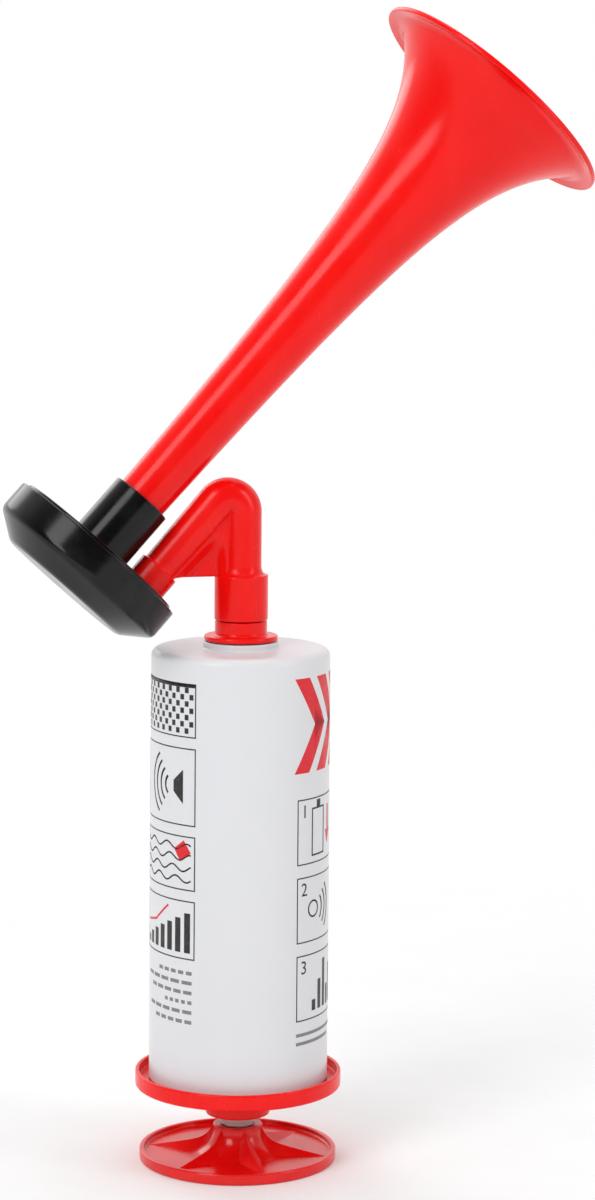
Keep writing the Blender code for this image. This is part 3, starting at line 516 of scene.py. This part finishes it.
def make_lid():
    """Disc with the horn's collar, the diaphragm's nozzle and skirt, and the air nipple."""
    under = LID_PROUD - LID_THICKNESS
    socket_r = horn_radius(COLLAR_TOP) + 0.2 * MM
    outline = rounded([
        (THROAT_R, NOZZLE_TIP, 0.2 * MM), (NOZZLE_R, NOZZLE_TIP, 0.2 * MM), (NOZZLE_R, under, 0.3 * MM),
        (RING_INNER_R, under), (RING_INNER_R, SKIRT_FOOT), (RING_OUTER_R, SKIRT_FOOT), (RING_OUTER_R, under),
        (LID_R, under, 0.2 * MM), (LID_R, LID_PROUD, 0.35 * MM), (COLLAR_R, LID_PROUD, 0.7 * MM),
        (COLLAR_R, COLLAR_TOP, 0.45 * MM), (socket_r, COLLAR_TOP, 0.3 * MM),
        (socket_r, COLLAR_SOCKET_FLOOR), (THROAT_R, COLLAR_SOCKET_FLOOR, 0.2 * MM),
    ])
    lid = turned("housing_lid_with_collar", outline, housing_black, place=HOUSING_PLACE)
    middle = LID_PROUD - LID_THICKNESS / 2
    side = HOUSING_PLACE @ Matrix.Translation((DUCT_OFFSET, 0.0, 0.0))
    nipple = rounded([(0.0, middle), (NIPPLE_R, middle), (NIPPLE_R, NIPPLE_TOP, 0.4 * MM), (0.0, NIPPLE_TOP)])
    bore_foot, bore_top = 2 * under, 2 * NIPPLE_TOP
    bore = [(0.0, bore_foot), (NIPPLE_BORE_R, bore_foot), (NIPPLE_BORE_R, bore_top), (0.0, bore_top)]
    fused(lid, [turned("nipple_body", nipple, housing_black, SMALL_STEPS, side)], "UNION")
    fused(lid, [turned("nipple_hole", bore, housing_black, SMALL_STEPS, side)], "DIFFERENCE")
    return stands_for(lid, "horn_head", "housing_lid")


def make_cover():
    """Cup round the lid, with a softly rounded shoulder and a chamfered floor."""
    floor = COVER_FLOOR - COVER_DEPTH
    outline = rounded([
        (0.0, -COVER_DEPTH), (COVER_FLAT_R, -COVER_DEPTH, 1.4 * MM), (COVER_R, -COVER_RIM_DEPTH, 1.5 * MM),
        (COVER_R, 0.0, 0.5 * MM), (COVER_INNER_R, 0.0, 0.3 * MM), (COVER_INNER_R, COVER_SHELF),
        (RING_INNER_R, COVER_SHELF, 0.3 * MM), (RING_INNER_R, -COVER_RIM_DEPTH, 0.4 * MM),
        (COVER_FLAT_R - COVER_FLOOR / 2, floor, 0.6 * MM), (0.0, floor),
    ], 6)
    cover = turned("housing_cover_cup", outline, housing_black, place=HOUSING_PLACE)
    return stands_for(cover, "horn_head", "housing_cover")


# Elbow


def elbow_point(along, radius, turn):
    """A point of the elbow's skin, with the inside of the bend stopped where the two legs meet."""
    outward = radius * math.cos(turn)
    side = radius * math.sin(turn)
    crease = max(0.0, -outward - BEND_R) / math.tan(HALF_CROTCH)
    if along <= UP_LENGTH or (crease and along < DOWN_START):
        return Vector((outward, side, min(along, UP_LENGTH - crease)))
    angle = min(along - UP_LENGTH, BEND_LENGTH) / BEND_R
    facing = Vector((math.cos(angle), 0.0, math.sin(angle)))
    ahead = Vector((-math.sin(angle), 0.0, math.cos(angle)))
    bend_centre = Vector((-BEND_R, side, UP_LENGTH))
    past_bend = max(along - DOWN_START, crease) if along >= DOWN_START else 0.0
    return bend_centre + facing * (BEND_R + outward) + ahead * past_bend


def bend_stations(radius):
    return [(UP_LENGTH + BEND_LENGTH * step / BEND_STEPS, radius) for step in range(BEND_STEPS + 1)]


def add_web(shape):
    """Gusset between the legs: a grid that thickens into fillets where it meets the pipe."""
    slope, straight = math.tan(HORN_TILT), math.cos(HORN_TILT)
    apex = UP_LENGTH + WEB_TOP_RISE
    bend_reach = CORNER_RISE - UP_LENGTH
    taper = ELBOW_END - ELBOW_BOSS_LENGTH - DOWN_START
    grid = bmesh.ops.create_grid(shape, x_segments=WEB_COLUMNS, y_segments=WEB_ROWS, size=0.5)["verts"]
    faces = list({face for vert in grid for face in vert.link_faces})
    places = {}
    for vert in grid:
        across, up = vert.co.x + 0.5, (vert.co.y + 0.5) ** WEB_ROW_CROWDING
        z = WEB_BOTTOM + (apex - WEB_BOTTOM) * up
        left = (z - CORNER_RISE) * slope + WEB_ROOT / straight
        x = -WEB_ROOT + (min(left, -WEB_ROOT) + WEB_ROOT) * across
        to_up_leg = -x - TUBE_R + WEB_SINK
        off_axis = abs(x * straight - (z - CORNER_RISE) * math.sin(HORN_TILT))
        down_leg = (CORNER_RISE - z) * straight - x * math.sin(HORN_TILT) - bend_reach
        leg_r = TUBE_R + (LEG_R - TUBE_R) * min(max(down_leg / taper, 0.0), 1.0)
        to_down_leg = off_axis - leg_r + WEB_SINK
        near = -WEB_CROTCH_BLEND * math.log(
            math.exp(-to_up_leg / WEB_CROTCH_BLEND) + math.exp(-to_down_leg / WEB_CROTCH_BLEND)
        )
        risen = min(max(1.0 - near / WEB_FILLET, 0.0), 1.0)
        half = WEB_HALF + WEB_FILLET_RISE * risen**2 * (3.0 - 2.0 * risen)
        edge = max(WEB_EDGE_R - (z - WEB_BOTTOM), 0.0)
        half -= WEB_EDGE_R - math.sqrt(max(WEB_EDGE_R**2 - edge**2, 0.0))
        places[vert] = (x, half, z)
    for vert, (x, half, z) in places.items():
        vert.co = (x, -half, z)
    grown = bmesh.ops.extrude_face_region(shape, geom=faces)["geom"]
    for vert in [item for item in grown if isinstance(item, bmesh.types.BMVert)]:
        vert.co.y = -vert.co.y


def make_elbow():
    """Bent pipe drawn out ring by ring, outside and then back through the bore, with its web."""
    shoulder_r = SOCKET_R - 1.3 * ELBOW_EDGE
    boss_start = ELBOW_END - ELBOW_BOSS_LENGTH
    outside = rounded([
        (0.0, SOCKET_BORE_R), (0.0, SOCKET_R, ELBOW_EDGE), (SOCKET_HEIGHT, SOCKET_R, ELBOW_EDGE),
        (SOCKET_HEIGHT, SOCKET_R - 2.5 * ELBOW_EDGE),
    ])[:-1]
    for step in range(1, SOCKET_FILLET_STEPS + 1):
        lean = math.radians(90 * step / SOCKET_FILLET_STEPS)
        outside.append((
            SOCKET_HEIGHT + SOCKET_FILLET * (1 - math.cos(lean)),
            shoulder_r - (shoulder_r - TUBE_R) * math.sin(lean),
        ))
    outside += bend_stations(TUBE_R)
    outside += [((DOWN_START + boss_start) / 2, (TUBE_R + LEG_R) / 2)]
    outside += rounded([
        (boss_start - 0.8 * MM, LEG_R), (boss_start, LEG_R, 0.3 * MM), (boss_start, ELBOW_BOSS_R, 0.35 * MM),
        (ELBOW_END, ELBOW_BOSS_R, ELBOW_EDGE), (ELBOW_END, ELBOW_POCKET_R),
    ])
    pocket_end = ELBOW_END - ELBOW_POCKET_DEPTH
    inside = [(pocket_end, ELBOW_POCKET_R), (pocket_end, ELBOW_BORE_R)]
    inside += reversed(bend_stations(ELBOW_BORE_R))
    inside += [(SOCKET_DEPTH, ELBOW_BORE_R), (SOCKET_DEPTH, SOCKET_BORE_R)]
    stations = outside + inside
    stations.append(stations[0])
    shape = bmesh.new()
    turn = shape.verts.layers.float.new("turn")
    ring = bmesh.ops.create_circle(shape, segments=ELBOW_STEPS, radius=1.0)["verts"]
    edges = list(shape.edges)
    for vert in ring:
        vert[turn] = math.atan2(vert.co.y, vert.co.x)
        vert.co = elbow_point(*stations[0], vert[turn])
    for along, radius in stations[1:]:
        grown = bmesh.ops.extrude_edge_only(shape, edges=edges)["geom"]
        moved = {item for item in grown if isinstance(item, bmesh.types.BMVert)}
        edges = [
            item for item in grown if isinstance(item, bmesh.types.BMEdge) and moved.issuperset(item.verts)
        ]
        for vert in moved:
            vert.co = elbow_point(along, radius, vert[turn])
    add_web(shape)
    shape.verts.layers.float.remove(turn)
    elbow = finished(shape, "elbow_pipe_moulding", pipe_red, ELBOW_PLACE)
    return stands_for(elbow, "horn_head", "elbow_pipe")


# Pump


def make_neck():
    """Red fitting with a stem, a flange, a seat ring and a grooved spigot for the elbow."""
    groove_low, groove_high = O_RING_Z - O_RING_GROOVE, O_RING_Z + O_RING_GROOVE
    outline = rounded([
        (NECK_BORE_R, NECK_STEM_FOOT_Z), (NECK_STEM_R, NECK_STEM_FOOT_Z, 0.4 * MM),
        (NECK_STEM_R, NECK_SEAT_Z), (NECK_FLANGE_R, NECK_SEAT_Z, 0.35 * MM),
        (NECK_FLANGE_R, NECK_FLANGE_TOP_Z, 0.5 * MM),
        (NECK_RING_R, NECK_FLANGE_TOP_Z, 0.8 * MM), (NECK_RING_R, NECK_RING_TOP_Z, 0.3 * MM),
        (SPIGOT_R, NECK_RING_TOP_Z), (SPIGOT_R, groove_low), (O_RING_GROOVE_R, groove_low),
        (O_RING_GROOVE_R, groove_high), (SPIGOT_R, groove_high), (SPIGOT_R, SPIGOT_TOP_Z, 0.4 * MM),
        (NECK_BORE_R, SPIGOT_TOP_Z),
    ])
    neck = turned("outlet_neck_fitting", outline, pipe_red, SMALL_STEPS)
    return stands_for(neck, "pump_body", "outlet_neck")


def make_barrel():
    """Thin drawn cylinder with a rounded shoulder and a low boss under the neck."""
    inner_r = BARREL_R - BARREL_WALL
    roof = BARREL_TOP_Z - BARREL_ROOF
    shoulder = arc(BARREL_R - BARREL_EDGE_R, BARREL_TOP_Z - BARREL_EDGE_R, BARREL_EDGE_R, 0, 90, 10)
    outline = rounded([
        (inner_r, BARREL_FOOT_Z), (BARREL_R, BARREL_FOOT_Z, 0.5 * MM), *shoulder,
        (BARREL_BOSS_R, BARREL_TOP_Z, 0.4 * MM), (BARREL_BOSS_R, BARREL_BOSS_TOP_Z, 0.5 * MM),
        (BARREL_HOLE_R, BARREL_BOSS_TOP_Z, 0.2 * MM), (BARREL_HOLE_R, roof), (inner_r, roof, 0.8 * MM),
    ])
    barrel = turned("pump_barrel_cylinder", outline, barrel_white)
    return stands_for(barrel, "pump_body", "pump_barrel")


def make_cap():
    """Cap with a thin lip round a groove, a plug ring, a boss for the guide and four air vents."""
    floor, lip_top = CAP_FLOOR_Z, CAP_FLOOR_Z + CAP_LIP_HEIGHT
    upper, plug_top = CAP_FLOOR_Z + CAP_FLOOR, CAP_FLOOR_Z + CAP_PLUG_TOP
    boss_foot = CAP_FLOOR_Z - CAP_BOSS_DROP
    lip_inner_r, plug_inner_r = CAP_R - CAP_LIP_WALL, CAP_PLUG_R - CAP_PLUG_WALL
    outline = rounded([
        (CAP_BORE_R, boss_foot, 0.2 * MM), (CAP_BOSS_R, boss_foot, 0.5 * MM), (CAP_BOSS_R, floor, 0.8 * MM),
        (CAP_R, floor, 0.8 * MM), (CAP_R, lip_top, 0.5 * MM), (lip_inner_r, lip_top, 0.4 * MM),
        (lip_inner_r, upper, 0.5 * MM), (CAP_PLUG_R, upper), (CAP_PLUG_R, plug_top, 0.5 * MM),
        (plug_inner_r, plug_top), (plug_inner_r, upper), (CAP_BORE_R, upper),
    ])
    cap = turned("bottom_cap_moulding", outline, cap_red)
    vents = []
    for index in range(VENT_COUNT):
        spot = math.tau * (index + 0.5) / VENT_COUNT
        place = Matrix.Translation((VENT_CIRCLE_R * math.cos(spot), VENT_CIRCLE_R * math.sin(spot), floor))
        hole = [(0.0, -CAP_FLOOR), (VENT_R, -CAP_FLOOR), (VENT_R, 2 * CAP_FLOOR), (0.0, 2 * CAP_FLOOR)]
        vents.append(turned(f"vent_hole_{index + 1}", hole, cap_red, 32, place))
    fused(cap, vents, "DIFFERENCE")
    return stands_for(cap, "pump_body", "bottom_cap")


def make_guide():
    """Milky stepped bush whose nose has flats for a spanner."""
    outline = rounded([
        (GUIDE_BORE_R, GUIDE_FOOT_Z), (GUIDE_NOSE_R, GUIDE_FOOT_Z), (GUIDE_NOSE_R, GUIDE_NOSE_TOP_Z),
        (GUIDE_BODY_R, GUIDE_NOSE_TOP_Z, 0.3 * MM), (GUIDE_BODY_R, GUIDE_BODY_TOP_Z),
        (GUIDE_FLANGE_R, GUIDE_BODY_TOP_Z, 0.2 * MM), (GUIDE_FLANGE_R, GUIDE_TOP_Z, 0.3 * MM),
        (GUIDE_BORE_R, GUIDE_TOP_Z),
    ])
    shape = bmesh.new()
    spin_outline(shape, outline, SMALL_STEPS)
    flat = math.tau / GUIDE_NOSE_FLATS
    for vert in shape.verts:
        if vert.co.z < GUIDE_NOSE_TOP_Z + MERGE and abs(vert.co.xy.length - GUIDE_NOSE_R) < MERGE:
            off_middle = math.atan2(vert.co.y, vert.co.x) % flat - flat / 2
            vert.co.xy *= math.cos(flat / 2) / math.cos(off_middle)
    guide = finished(shape, "rod_guide_bush", milky)
    return stands_for(guide, "pump_body", "rod_guide")


def make_rod():
    """Milky tube with the snap bead that the piston's head holds."""
    top = ROD_FOOT_Z + ROD_LENGTH
    bead = [(ROD_R, top - BEAD_FOOT), (BEAD_R, top - BEAD_FOOT + BEAD_SLOPE, 0.2 * MM)]
    bead += [(BEAD_R, top - BEAD_TOP - BEAD_SLOPE, 0.2 * MM), (ROD_R, top - BEAD_TOP)]
    outline = rounded([
        (ROD_INNER_R, ROD_FOOT_Z), (ROD_R, ROD_FOOT_Z, 0.2 * MM), *bead,
        (ROD_R, top, 0.3 * MM), (ROD_INNER_R, top),
    ])
    rod = turned("piston_rod_tube", outline, milky, SMALL_STEPS)
    return stands_for(rod, "plunger", "piston_rod")


def rib_section(distance):
    """Four corners of a rib's section with a narrow rounded ridge, at a distance from the axis."""
    left = RIB_TIP_R - distance
    rise = RIB_SLOPE * left + RIB_ROOT_RISE * math.exp(-(distance - HUB_R) / RIB_ROOT_FADE)
    top = min(HANDLE_FLOOR + rise, RIB_TOP)
    base = HANDLE_FLOOR / 2
    half = RIB_HALF_WIDTH_SLOPE * left * (top - base) / max(top - HANDLE_FLOOR, 0.01 * MM)
    ridge = min(RIB_RIDGE_HALF, half * RIB_RIDGE_SHARE)
    return [(-half, base), (half, base), (ridge, top), (-ridge, top)]


def add_rib(shape, angle):
    """A rib drawn out from inside the hub's wall until it sinks into the floor."""
    start = (HUB_R + ROD_SOCKET_R) / 2
    corners = [shape.verts.new((start, across, up)) for across, up in rib_section(start)]
    section = [shape.edges.new((corners[turn - 1], corners[turn])) for turn in range(4)]
    verts = list(corners)
    shape.faces.new(corners)
    for step in range(1, RIB_STATIONS):
        distance = start + (RIB_TIP_R - start) * RIB_TIP_SHARE * step / (RIB_STATIONS - 1)
        places = rib_section(distance)
        grown = bmesh.ops.extrude_edge_only(shape, edges=section)["geom"]
        moved = {item for item in grown if isinstance(item, bmesh.types.BMVert)}
        section = [
            item for item in grown if isinstance(item, bmesh.types.BMEdge) and moved.issuperset(item.verts)
        ]
        for vert in moved:
            side, high = vert.co.y > 0, vert.co.z > HANDLE_FLOOR
            across, up = places[(2 if side else 3) if high else (1 if side else 0)]
            vert.co = (distance, across, up)
        verts += moved
    bmesh.ops.contextual_create(shape, geom=section)
    bmesh.ops.rotate(shape, verts=verts, matrix=Matrix.Rotation(angle, 3, "Z"))


def make_handle():
    """Disc with a thin raised rim, a flared hub and six ribs that narrow to points."""
    rim_inner_r = HANDLE_R - HANDLE_RIM_WALL
    outline = rounded([
        (0.0, 0.0), (HANDLE_R, 0.0, 0.5 * MM), (HANDLE_R, HANDLE_RIM_HEIGHT, 0.45 * MM),
        (rim_inner_r, HANDLE_RIM_HEIGHT, 0.35 * MM), (rim_inner_r, HANDLE_FLOOR, 0.5 * MM),
        *arc(HUB_R + HUB_FLARE_R, HANDLE_FLOOR + HUB_FLARE_R, HUB_FLARE_R, 270, 180, 14),
        (HUB_R, HUB_HEIGHT, 0.5 * MM), (ROD_SOCKET_R, HUB_HEIGHT, 0.2 * MM),
        (ROD_SOCKET_R, ROD_SOCKET_FLOOR), (0.0, ROD_SOCKET_FLOOR),
    ])
    shape = bmesh.new()
    spin_outline(shape, outline, FINE_STEPS)
    for index in range(RIB_COUNT):
        add_rib(shape, RIB_FIRST_ANGLE + math.tau * index / RIB_COUNT)
    handle = finished(shape, "pull_handle_disc", handle_red)
    return stands_for(handle, "plunger", "pump_handle")


# Printed sheet: drawn flat in millimetres, then cut into narrow strips and wrapped on the barrel


def ink_shape(ink, corners):
    """A flat closed shape from its corners."""
    ink.faces.new([ink.verts.new((x, y, 0.0)) for x, y in corners])


def ink_bar(ink, left, low, right, high):
    ink_shape(ink, [(left, low), (right, low), (right, high), (left, high)])


def ink_frame(ink, left, low, right, high, line=0.35):
    ink_bar(ink, left, low, right, low + line)
    ink_bar(ink, left, high - line, right, high)
    ink_bar(ink, left, low + line, left + line, high - line)
    ink_bar(ink, right - line, low + line, right, high - line)


def ink_stroke(ink, points, width):
    """A line of even width through points, one four-sided piece per stretch."""
    middle = [Vector(point) for point in points]
    sides = []
    for index, point in enumerate(middle):
        ahead = middle[min(index + 1, len(middle) - 1)] - middle[max(index - 1, 0)]
        across = Vector((-ahead.y, ahead.x)).normalized() * width / 2
        sides.append((point + across, point - across))
    for (left, right), (next_left, next_right) in zip(sides, sides[1:]):
        ink_shape(ink, [left, right, next_right, next_left])


def ink_arc(ink, x, y, radius, start, end, width):
    steps = max(6, int(abs(end - start) / 9))
    ink_stroke(ink, [
        (x + radius * math.cos(math.radians(start + (end - start) * step / steps)),
         y + radius * math.sin(math.radians(start + (end - start) * step / steps)))
        for step in range(steps + 1)
    ], width)


def ink_chevron(ink, x, low, high, reach, thick):
    """A bold arrowhead that points along the sheet."""
    middle = (low + high) / 2
    ink_shape(ink, [(x, low), (x + thick, low), (x + reach + thick, middle), (x + reach, middle)])
    ink_shape(ink, [(x + reach, middle), (x + reach + thick, middle), (x + thick, high), (x, high)])


def ink_number(ink, text, x, y, height):
    """A plain number, made a mesh before it is placed."""
    words = bpy.data.curves.new("number_" + text, "FONT")
    words.body, words.size, words.fill_mode = text, height / 0.7, "FRONT"
    holder = bpy.data.objects.new("number_" + text, words)
    bpy.context.scene.collection.objects.link(holder)
    bpy.context.view_layer.update()
    mesh = bpy.data.meshes.new_from_object(holder.evaluated_get(bpy.context.evaluated_depsgraph_get()))
    mesh.transform(Matrix.Translation((x, y, 0.0)))
    ink.from_mesh(mesh)
    bpy.data.objects.remove(holder)
    bpy.data.curves.remove(words)
    bpy.data.meshes.remove(mesh)


def wrap_ink(ink, name, material):
    """Cuts the flat print into narrow strips, wraps it round the barrel and gives it a thin body."""
    lowest = min(vert.co.x for vert in ink.verts)
    highest = max(vert.co.x for vert in ink.verts)
    for cut in range(1, int((highest - lowest) / PRINT_CUT) + 1):
        bmesh.ops.bisect_plane(
            ink, geom=[*ink.verts, *ink.edges, *ink.faces], dist=1e-5,
            plane_co=(lowest + cut * PRINT_CUT, 0.0, 0.0), plane_no=(1.0, 0.0, 0.0),
        )
    grown = bmesh.ops.extrude_face_region(ink, geom=list(ink.faces), use_keep_orig=True)["geom"]
    outer = {item for item in grown if isinstance(item, bmesh.types.BMVert)}
    for vert in ink.verts:
        angle = PRINT_SEAM_ANGLE + vert.co.x * MM / BARREL_R
        radius = BARREL_R + (PRINT_PROUD if vert in outer else -PRINT_PROUD)
        vert.co = (radius * math.cos(angle), radius * math.sin(angle), vert.co.y * MM)
    piece = finished(ink, name, material)
    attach(piece, "pump_body")
    return piece


def draw_left_column(black, grey, red):
    """Framed panels to the left of the seam: sound arcs, a woven field, waves and a rising bar row."""
    left, right = -37.5, -12.2
    ink_frame(black, left, 121.5, right, 136.4)
    for step in range(15):
        for row in range(7):
            if (step + row) % 2:
                spot = left + 1.0 + step * 1.58
                ink_bar(black, spot, 122.6 + row * 1.86, spot + 1.3, 124.1 + row * 1.86)
    ink_bar(black, left, 133.9 + 1.4, right, 136.4)
    ink_frame(black, left, 97.2, right, 118.6)
    for radius in (3.0, 5.4, 7.8, 10.2):
        ink_arc(black, -20.5, 107.9, radius, 128, 232, 0.7)
    ink_shape(black, [(-20.0, 106.4), (-16.4, 103.2), (-16.4, 112.6), (-20.0, 109.4)])
    ink_frame(black, left, 79.4, right, 94.4)
    for row in range(4):
        ink_stroke(black, [
            (left + 1.4 + step * 0.75, 82.4 + row * 3.0 + 0.85 * math.sin(step * 0.62 + row))
            for step in range(31)
        ], 0.45)
    ink_shape(red, [(-19.6, 90.6), (-16.0, 93.2), (-13.6, 89.8), (-17.2, 87.2)])
    ink_frame(black, left, 60.4, right, 76.6)
    for step in range(7):
        ink_bar(black, left + 2.0 + step * 3.3, 62.2, left + 4.0 + step * 3.3, 64.2 + step * 1.5)
    ink_stroke(red, [(left + 2.4, 68.2), (left + 9.2, 69.6), (left + 15.6, 74.6)], 0.6)
    for row, length in enumerate((14.0, 21.5, 18.5, 11.0, 20.0, 16.0)):
        for word in range(5):
            start = right - length + word * length / 5
            ink_bar(grey, start, 56.2 - row * 2.7, start + length / 5 - 0.9, 57.2 - row * 2.7)


def draw_right_column(black, grey, red):
    """Bold red chevrons over three numbered panels, to the right of the seam."""
    for step in range(3):
        ink_chevron(red, 16.4 + step * 9.0, 111.4, 137.6, 8.2, 5.6)
    left, right = 17.6, 40.0
    for index, low in enumerate((86.0, 64.4, 42.8)):
        ink_frame(black, left, low, right, low + 18.2)
        ink_number(black, str(index + 1), left + 1.5, low + 13.0, 3.6)
    ink_frame(black, 23.4, 88.0, 30.2, 101.4, 0.5)
    ink_bar(black, 25.8, 101.4, 27.8, 103.4)
    ink_shape(red, [(33.2, 90.0), (36.2, 94.0), (30.9 + 0.6, 94.0)])
    ink_bar(red, 33.0, 94.0, 34.6, 101.0)
    ink_arc(black, 24.4, 73.4, 2.2, 0, 360, 0.5)
    for radius in (4.6, 6.8, 9.0):
        ink_arc(black, 24.4, 73.4, radius, -42, 42, 0.6)
    for step in range(5):
        ink_bar(black, 24.0 + step * 3.0, 45.0, 25.8 + step * 3.0, 48.0 + (step * 2 % 5) * 2.6)
    for row, length in enumerate((22.0, 17.0)):
        ink_bar(grey, left, 38.6 - row * 2.4, left + length, 39.5 - row * 2.4)


def draw_front(black, grey, red):
    """Large mark on the side away from the seam: a cone with sound arcs over ruled lines."""
    for step in range(6):
        ink_arc(red, 74.0, 124.5, 8.0 + step * 4.1, -32, 32, 2.1)
    ink_shape(red, [(62.0, 120.6), (70.0, 116.4), (70.0, 132.6), (62.0, 128.4)])
    ink_frame(black, 50.0, 64.0, 108.0, 96.0, 0.5)
    for step in range(18):
        ink_stroke(black, [(52.0 + step * 3.0, 66.0), (55.0 + step * 3.0, 94.0)], 0.35)
    for step in range(4):
        ink_chevron(red, 58.0 + step * 11.0, 72.0, 88.0, 6.0, 3.4)
    for row, length in enumerate((52.0, 46.0, 55.0, 38.0, 49.0)):
        ink_bar(grey, 50.0, 56.0 - row * 3.4, 50.0 + length, 57.3 - row * 3.4)


def make_print():
    inks = [bmesh.new() for _ in range(3)]
    for draw in (draw_left_column, draw_right_column, draw_front):
        draw(*inks)
    names = ("barrel_print_black", "barrel_print_grey", "barrel_print_red")
    for ink, name, material in zip(inks, names, (ink_black, ink_grey, ink_red)):
        wrap_ink(ink, name, material)


# Studio

PHOTO_SIZE = (595.0, 1200.0)
SENSOR = 36.0
CAMERA_PLACE = Vector((-0.21871, -0.87315, 0.27428))
CAMERA_AZIMUTH = math.radians(-15.0)
CAMERA_PITCH = math.radians(1.921)
CAMERA_ROLL = math.radians(0.433)
CAMERA_FOCUS_PIXELS = 3233.9
CAMERA_SHIFT_X = 0.001
CAMERA_SHIFT_Y = -0.26
BEHIND_OBJECT = (0.2588, 0.9659, 0.0)
FRONT_REFLECTION = 0.07
WORLD_LIGHT = 0.5


def make_camera():
    """Long lens from the photograph's place, turned down a little, with the rest of its framing as shift."""
    lens = bpy.data.cameras.new("photo_camera")
    lens.sensor_fit = "AUTO"
    lens.sensor_width = SENSOR
    lens.lens = CAMERA_FOCUS_PIXELS * SENSOR / PHOTO_SIZE[1]
    lens.shift_x, lens.shift_y = CAMERA_SHIFT_X, CAMERA_SHIFT_Y
    lens.clip_start, lens.clip_end = 0.05, 40.0
    camera = bpy.data.objects.new("photo_camera", lens)
    turn = Matrix.Rotation(CAMERA_AZIMUTH, 4, "Z")
    turn @= Matrix.Rotation(math.pi / 2 - CAMERA_PITCH, 4, "X") @ Matrix.Rotation(CAMERA_ROLL, 4, "Z")
    camera.matrix_world = Matrix.Translation(CAMERA_PLACE) @ turn
    bpy.context.scene.collection.objects.link(camera)
    bpy.context.scene.camera = camera


def soft_light(name, place, target, width, height, power):
    lamp = bpy.data.lights.new(name, "AREA")
    lamp.shape = "RECTANGLE"
    lamp.size, lamp.size_y = width, height
    lamp.energy = power
    holder = bpy.data.objects.new(name, lamp)
    holder.location = place
    holder.rotation_euler = (Vector(target) - Vector(place)).to_track_quat("-Z", "Y").to_euler()
    bpy.context.scene.collection.objects.link(holder)


def make_floor():
    """Pale floor that keeps the shadow near the object and is plain white to the camera further off."""
    shape = bmesh.new()
    bmesh.ops.create_circle(shape, cap_ends=True, segments=96, radius=9.0)
    bmesh.ops.translate(shape, verts=shape.verts, vec=(0.0, 0.0, -0.05 * MM))
    material = bpy.data.materials.new("studio_floor")
    material.use_nodes = True
    tree = material.node_tree
    shader = tree.nodes["Principled BSDF"]
    shader.inputs["Roughness"].default_value = 0.9
    shader.inputs["Specular IOR Level"].default_value = 0.0
    grain = spread(tree, noise(tree, 30.0, 3.0), 0.0, 1.0)
    paint = blend_colour(tree, grain, (0.86, 0.86, 0.86), (0.89, 0.89, 0.89))
    tree.links.new(paint, shader.inputs["Base Color"])
    place = node(tree, "TexCoord").outputs["Object"]
    distance = node(tree, "VectorMath", {"operation": "LENGTH"}, i0=place).outputs["Value"]
    far = spread(tree, distance, 0.12, 1.0, 0.05, 0.45)
    rays = node(tree, "LightPath").outputs
    seen = combine_values(tree, "MAXIMUM", rays["Is Camera Ray"], rays["Is Glossy Ray"])
    seen = combine_values(tree, "MAXIMUM", seen, rays["Is Transmission Ray"])
    glow = node(tree, "Emission", Color=(1.0, 1.0, 1.0, 1.0), Strength=1.0)
    share = combine_values(tree, "MULTIPLY", seen, far)
    mixed = node(tree, "MixShader", i0=share, i1=shader.outputs[0], i2=glow.outputs[0])
    tree.links.new(mixed.outputs[0], tree.nodes["Material Output"].inputs["Surface"])
    floor = finished(shape, "studio_floor", material)


def make_world():
    """White to the camera, white behind the object in reflections, and a plainer grey as light."""
    world = bpy.data.worlds.new("studio_world")
    world.use_nodes = True
    tree = world.node_tree
    rays = node(tree, "LightPath").outputs
    seen = combine_values(tree, "MAXIMUM", rays["Is Camera Ray"], rays["Is Transmission Ray"])
    heading = node(tree, "TexCoord").outputs["Generated"]
    ahead = node(tree, "VectorMath", {"operation": "DOT_PRODUCT"}, i0=heading, i1=BEHIND_OBJECT).outputs["Value"]
    around = spread(tree, ahead, FRONT_REFLECTION, 1.0, -0.35, 0.6)
    glossy = combine_values(tree, "MULTIPLY", rays["Is Glossy Ray"], around)
    other = combine_values(tree, "SUBTRACT", 1.0, rays["Is Glossy Ray"])
    light = combine_values(tree, "MULTIPLY", other, WORLD_LIGHT)
    strength = combine_values(tree, "MAXIMUM", seen, combine_values(tree, "ADD", glossy, light))
    background = tree.nodes["Background"]
    background.inputs["Color"].default_value = (1.0, 1.0, 1.0, 1.0)
    tree.links.new(strength, background.inputs["Strength"])
    bpy.context.scene.world = world


def make_studio():
    middle = (0.0, 0.0, 0.17)
    soft_light("key_softbox", (-1.25, -1.0, 1.15), middle, 0.7, 1.5, 16.0)
    soft_light("fill_softbox", (1.35, -1.1, 0.9), middle, 0.5, 1.4, 8.0)
    soft_light("top_softbox", (0.1, 0.25, 1.9), middle, 1.2, 1.2, 11.0)
    soft_light("back_softbox", (-0.5, 1.5, 1.1), middle, 1.0, 1.2, 7.5)
    make_floor()
    make_world()
    make_camera()
    bpy.context.scene.view_settings.view_transform = "Standard"


def dress_inner_nodes():
    """Gives the solids that stay their own finishes."""
    finishes = {
        "neck_washer": seal_rubber, "neck_o_ring": seal_rubber, "diaphragm_gasket": seal_rubber,
        "piston_cup": seal_rubber, "neck_nut": inner_white, "piston_head": inner_white,
        "cup_retainer": inner_white, "diaphragm": disc_film, "clamp_ring": housing_black,
        "piston_screw": screw_steel,
    }
    for name, material in finishes.items():
        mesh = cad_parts[name].data
        mesh.materials.clear()
        mesh.materials.append(material)


for make in (make_horn, make_lid, make_cover, make_elbow, make_neck, make_barrel, make_cap, make_guide,
             make_rod, make_handle, make_print, dress_inner_nodes, make_studio):
    make()
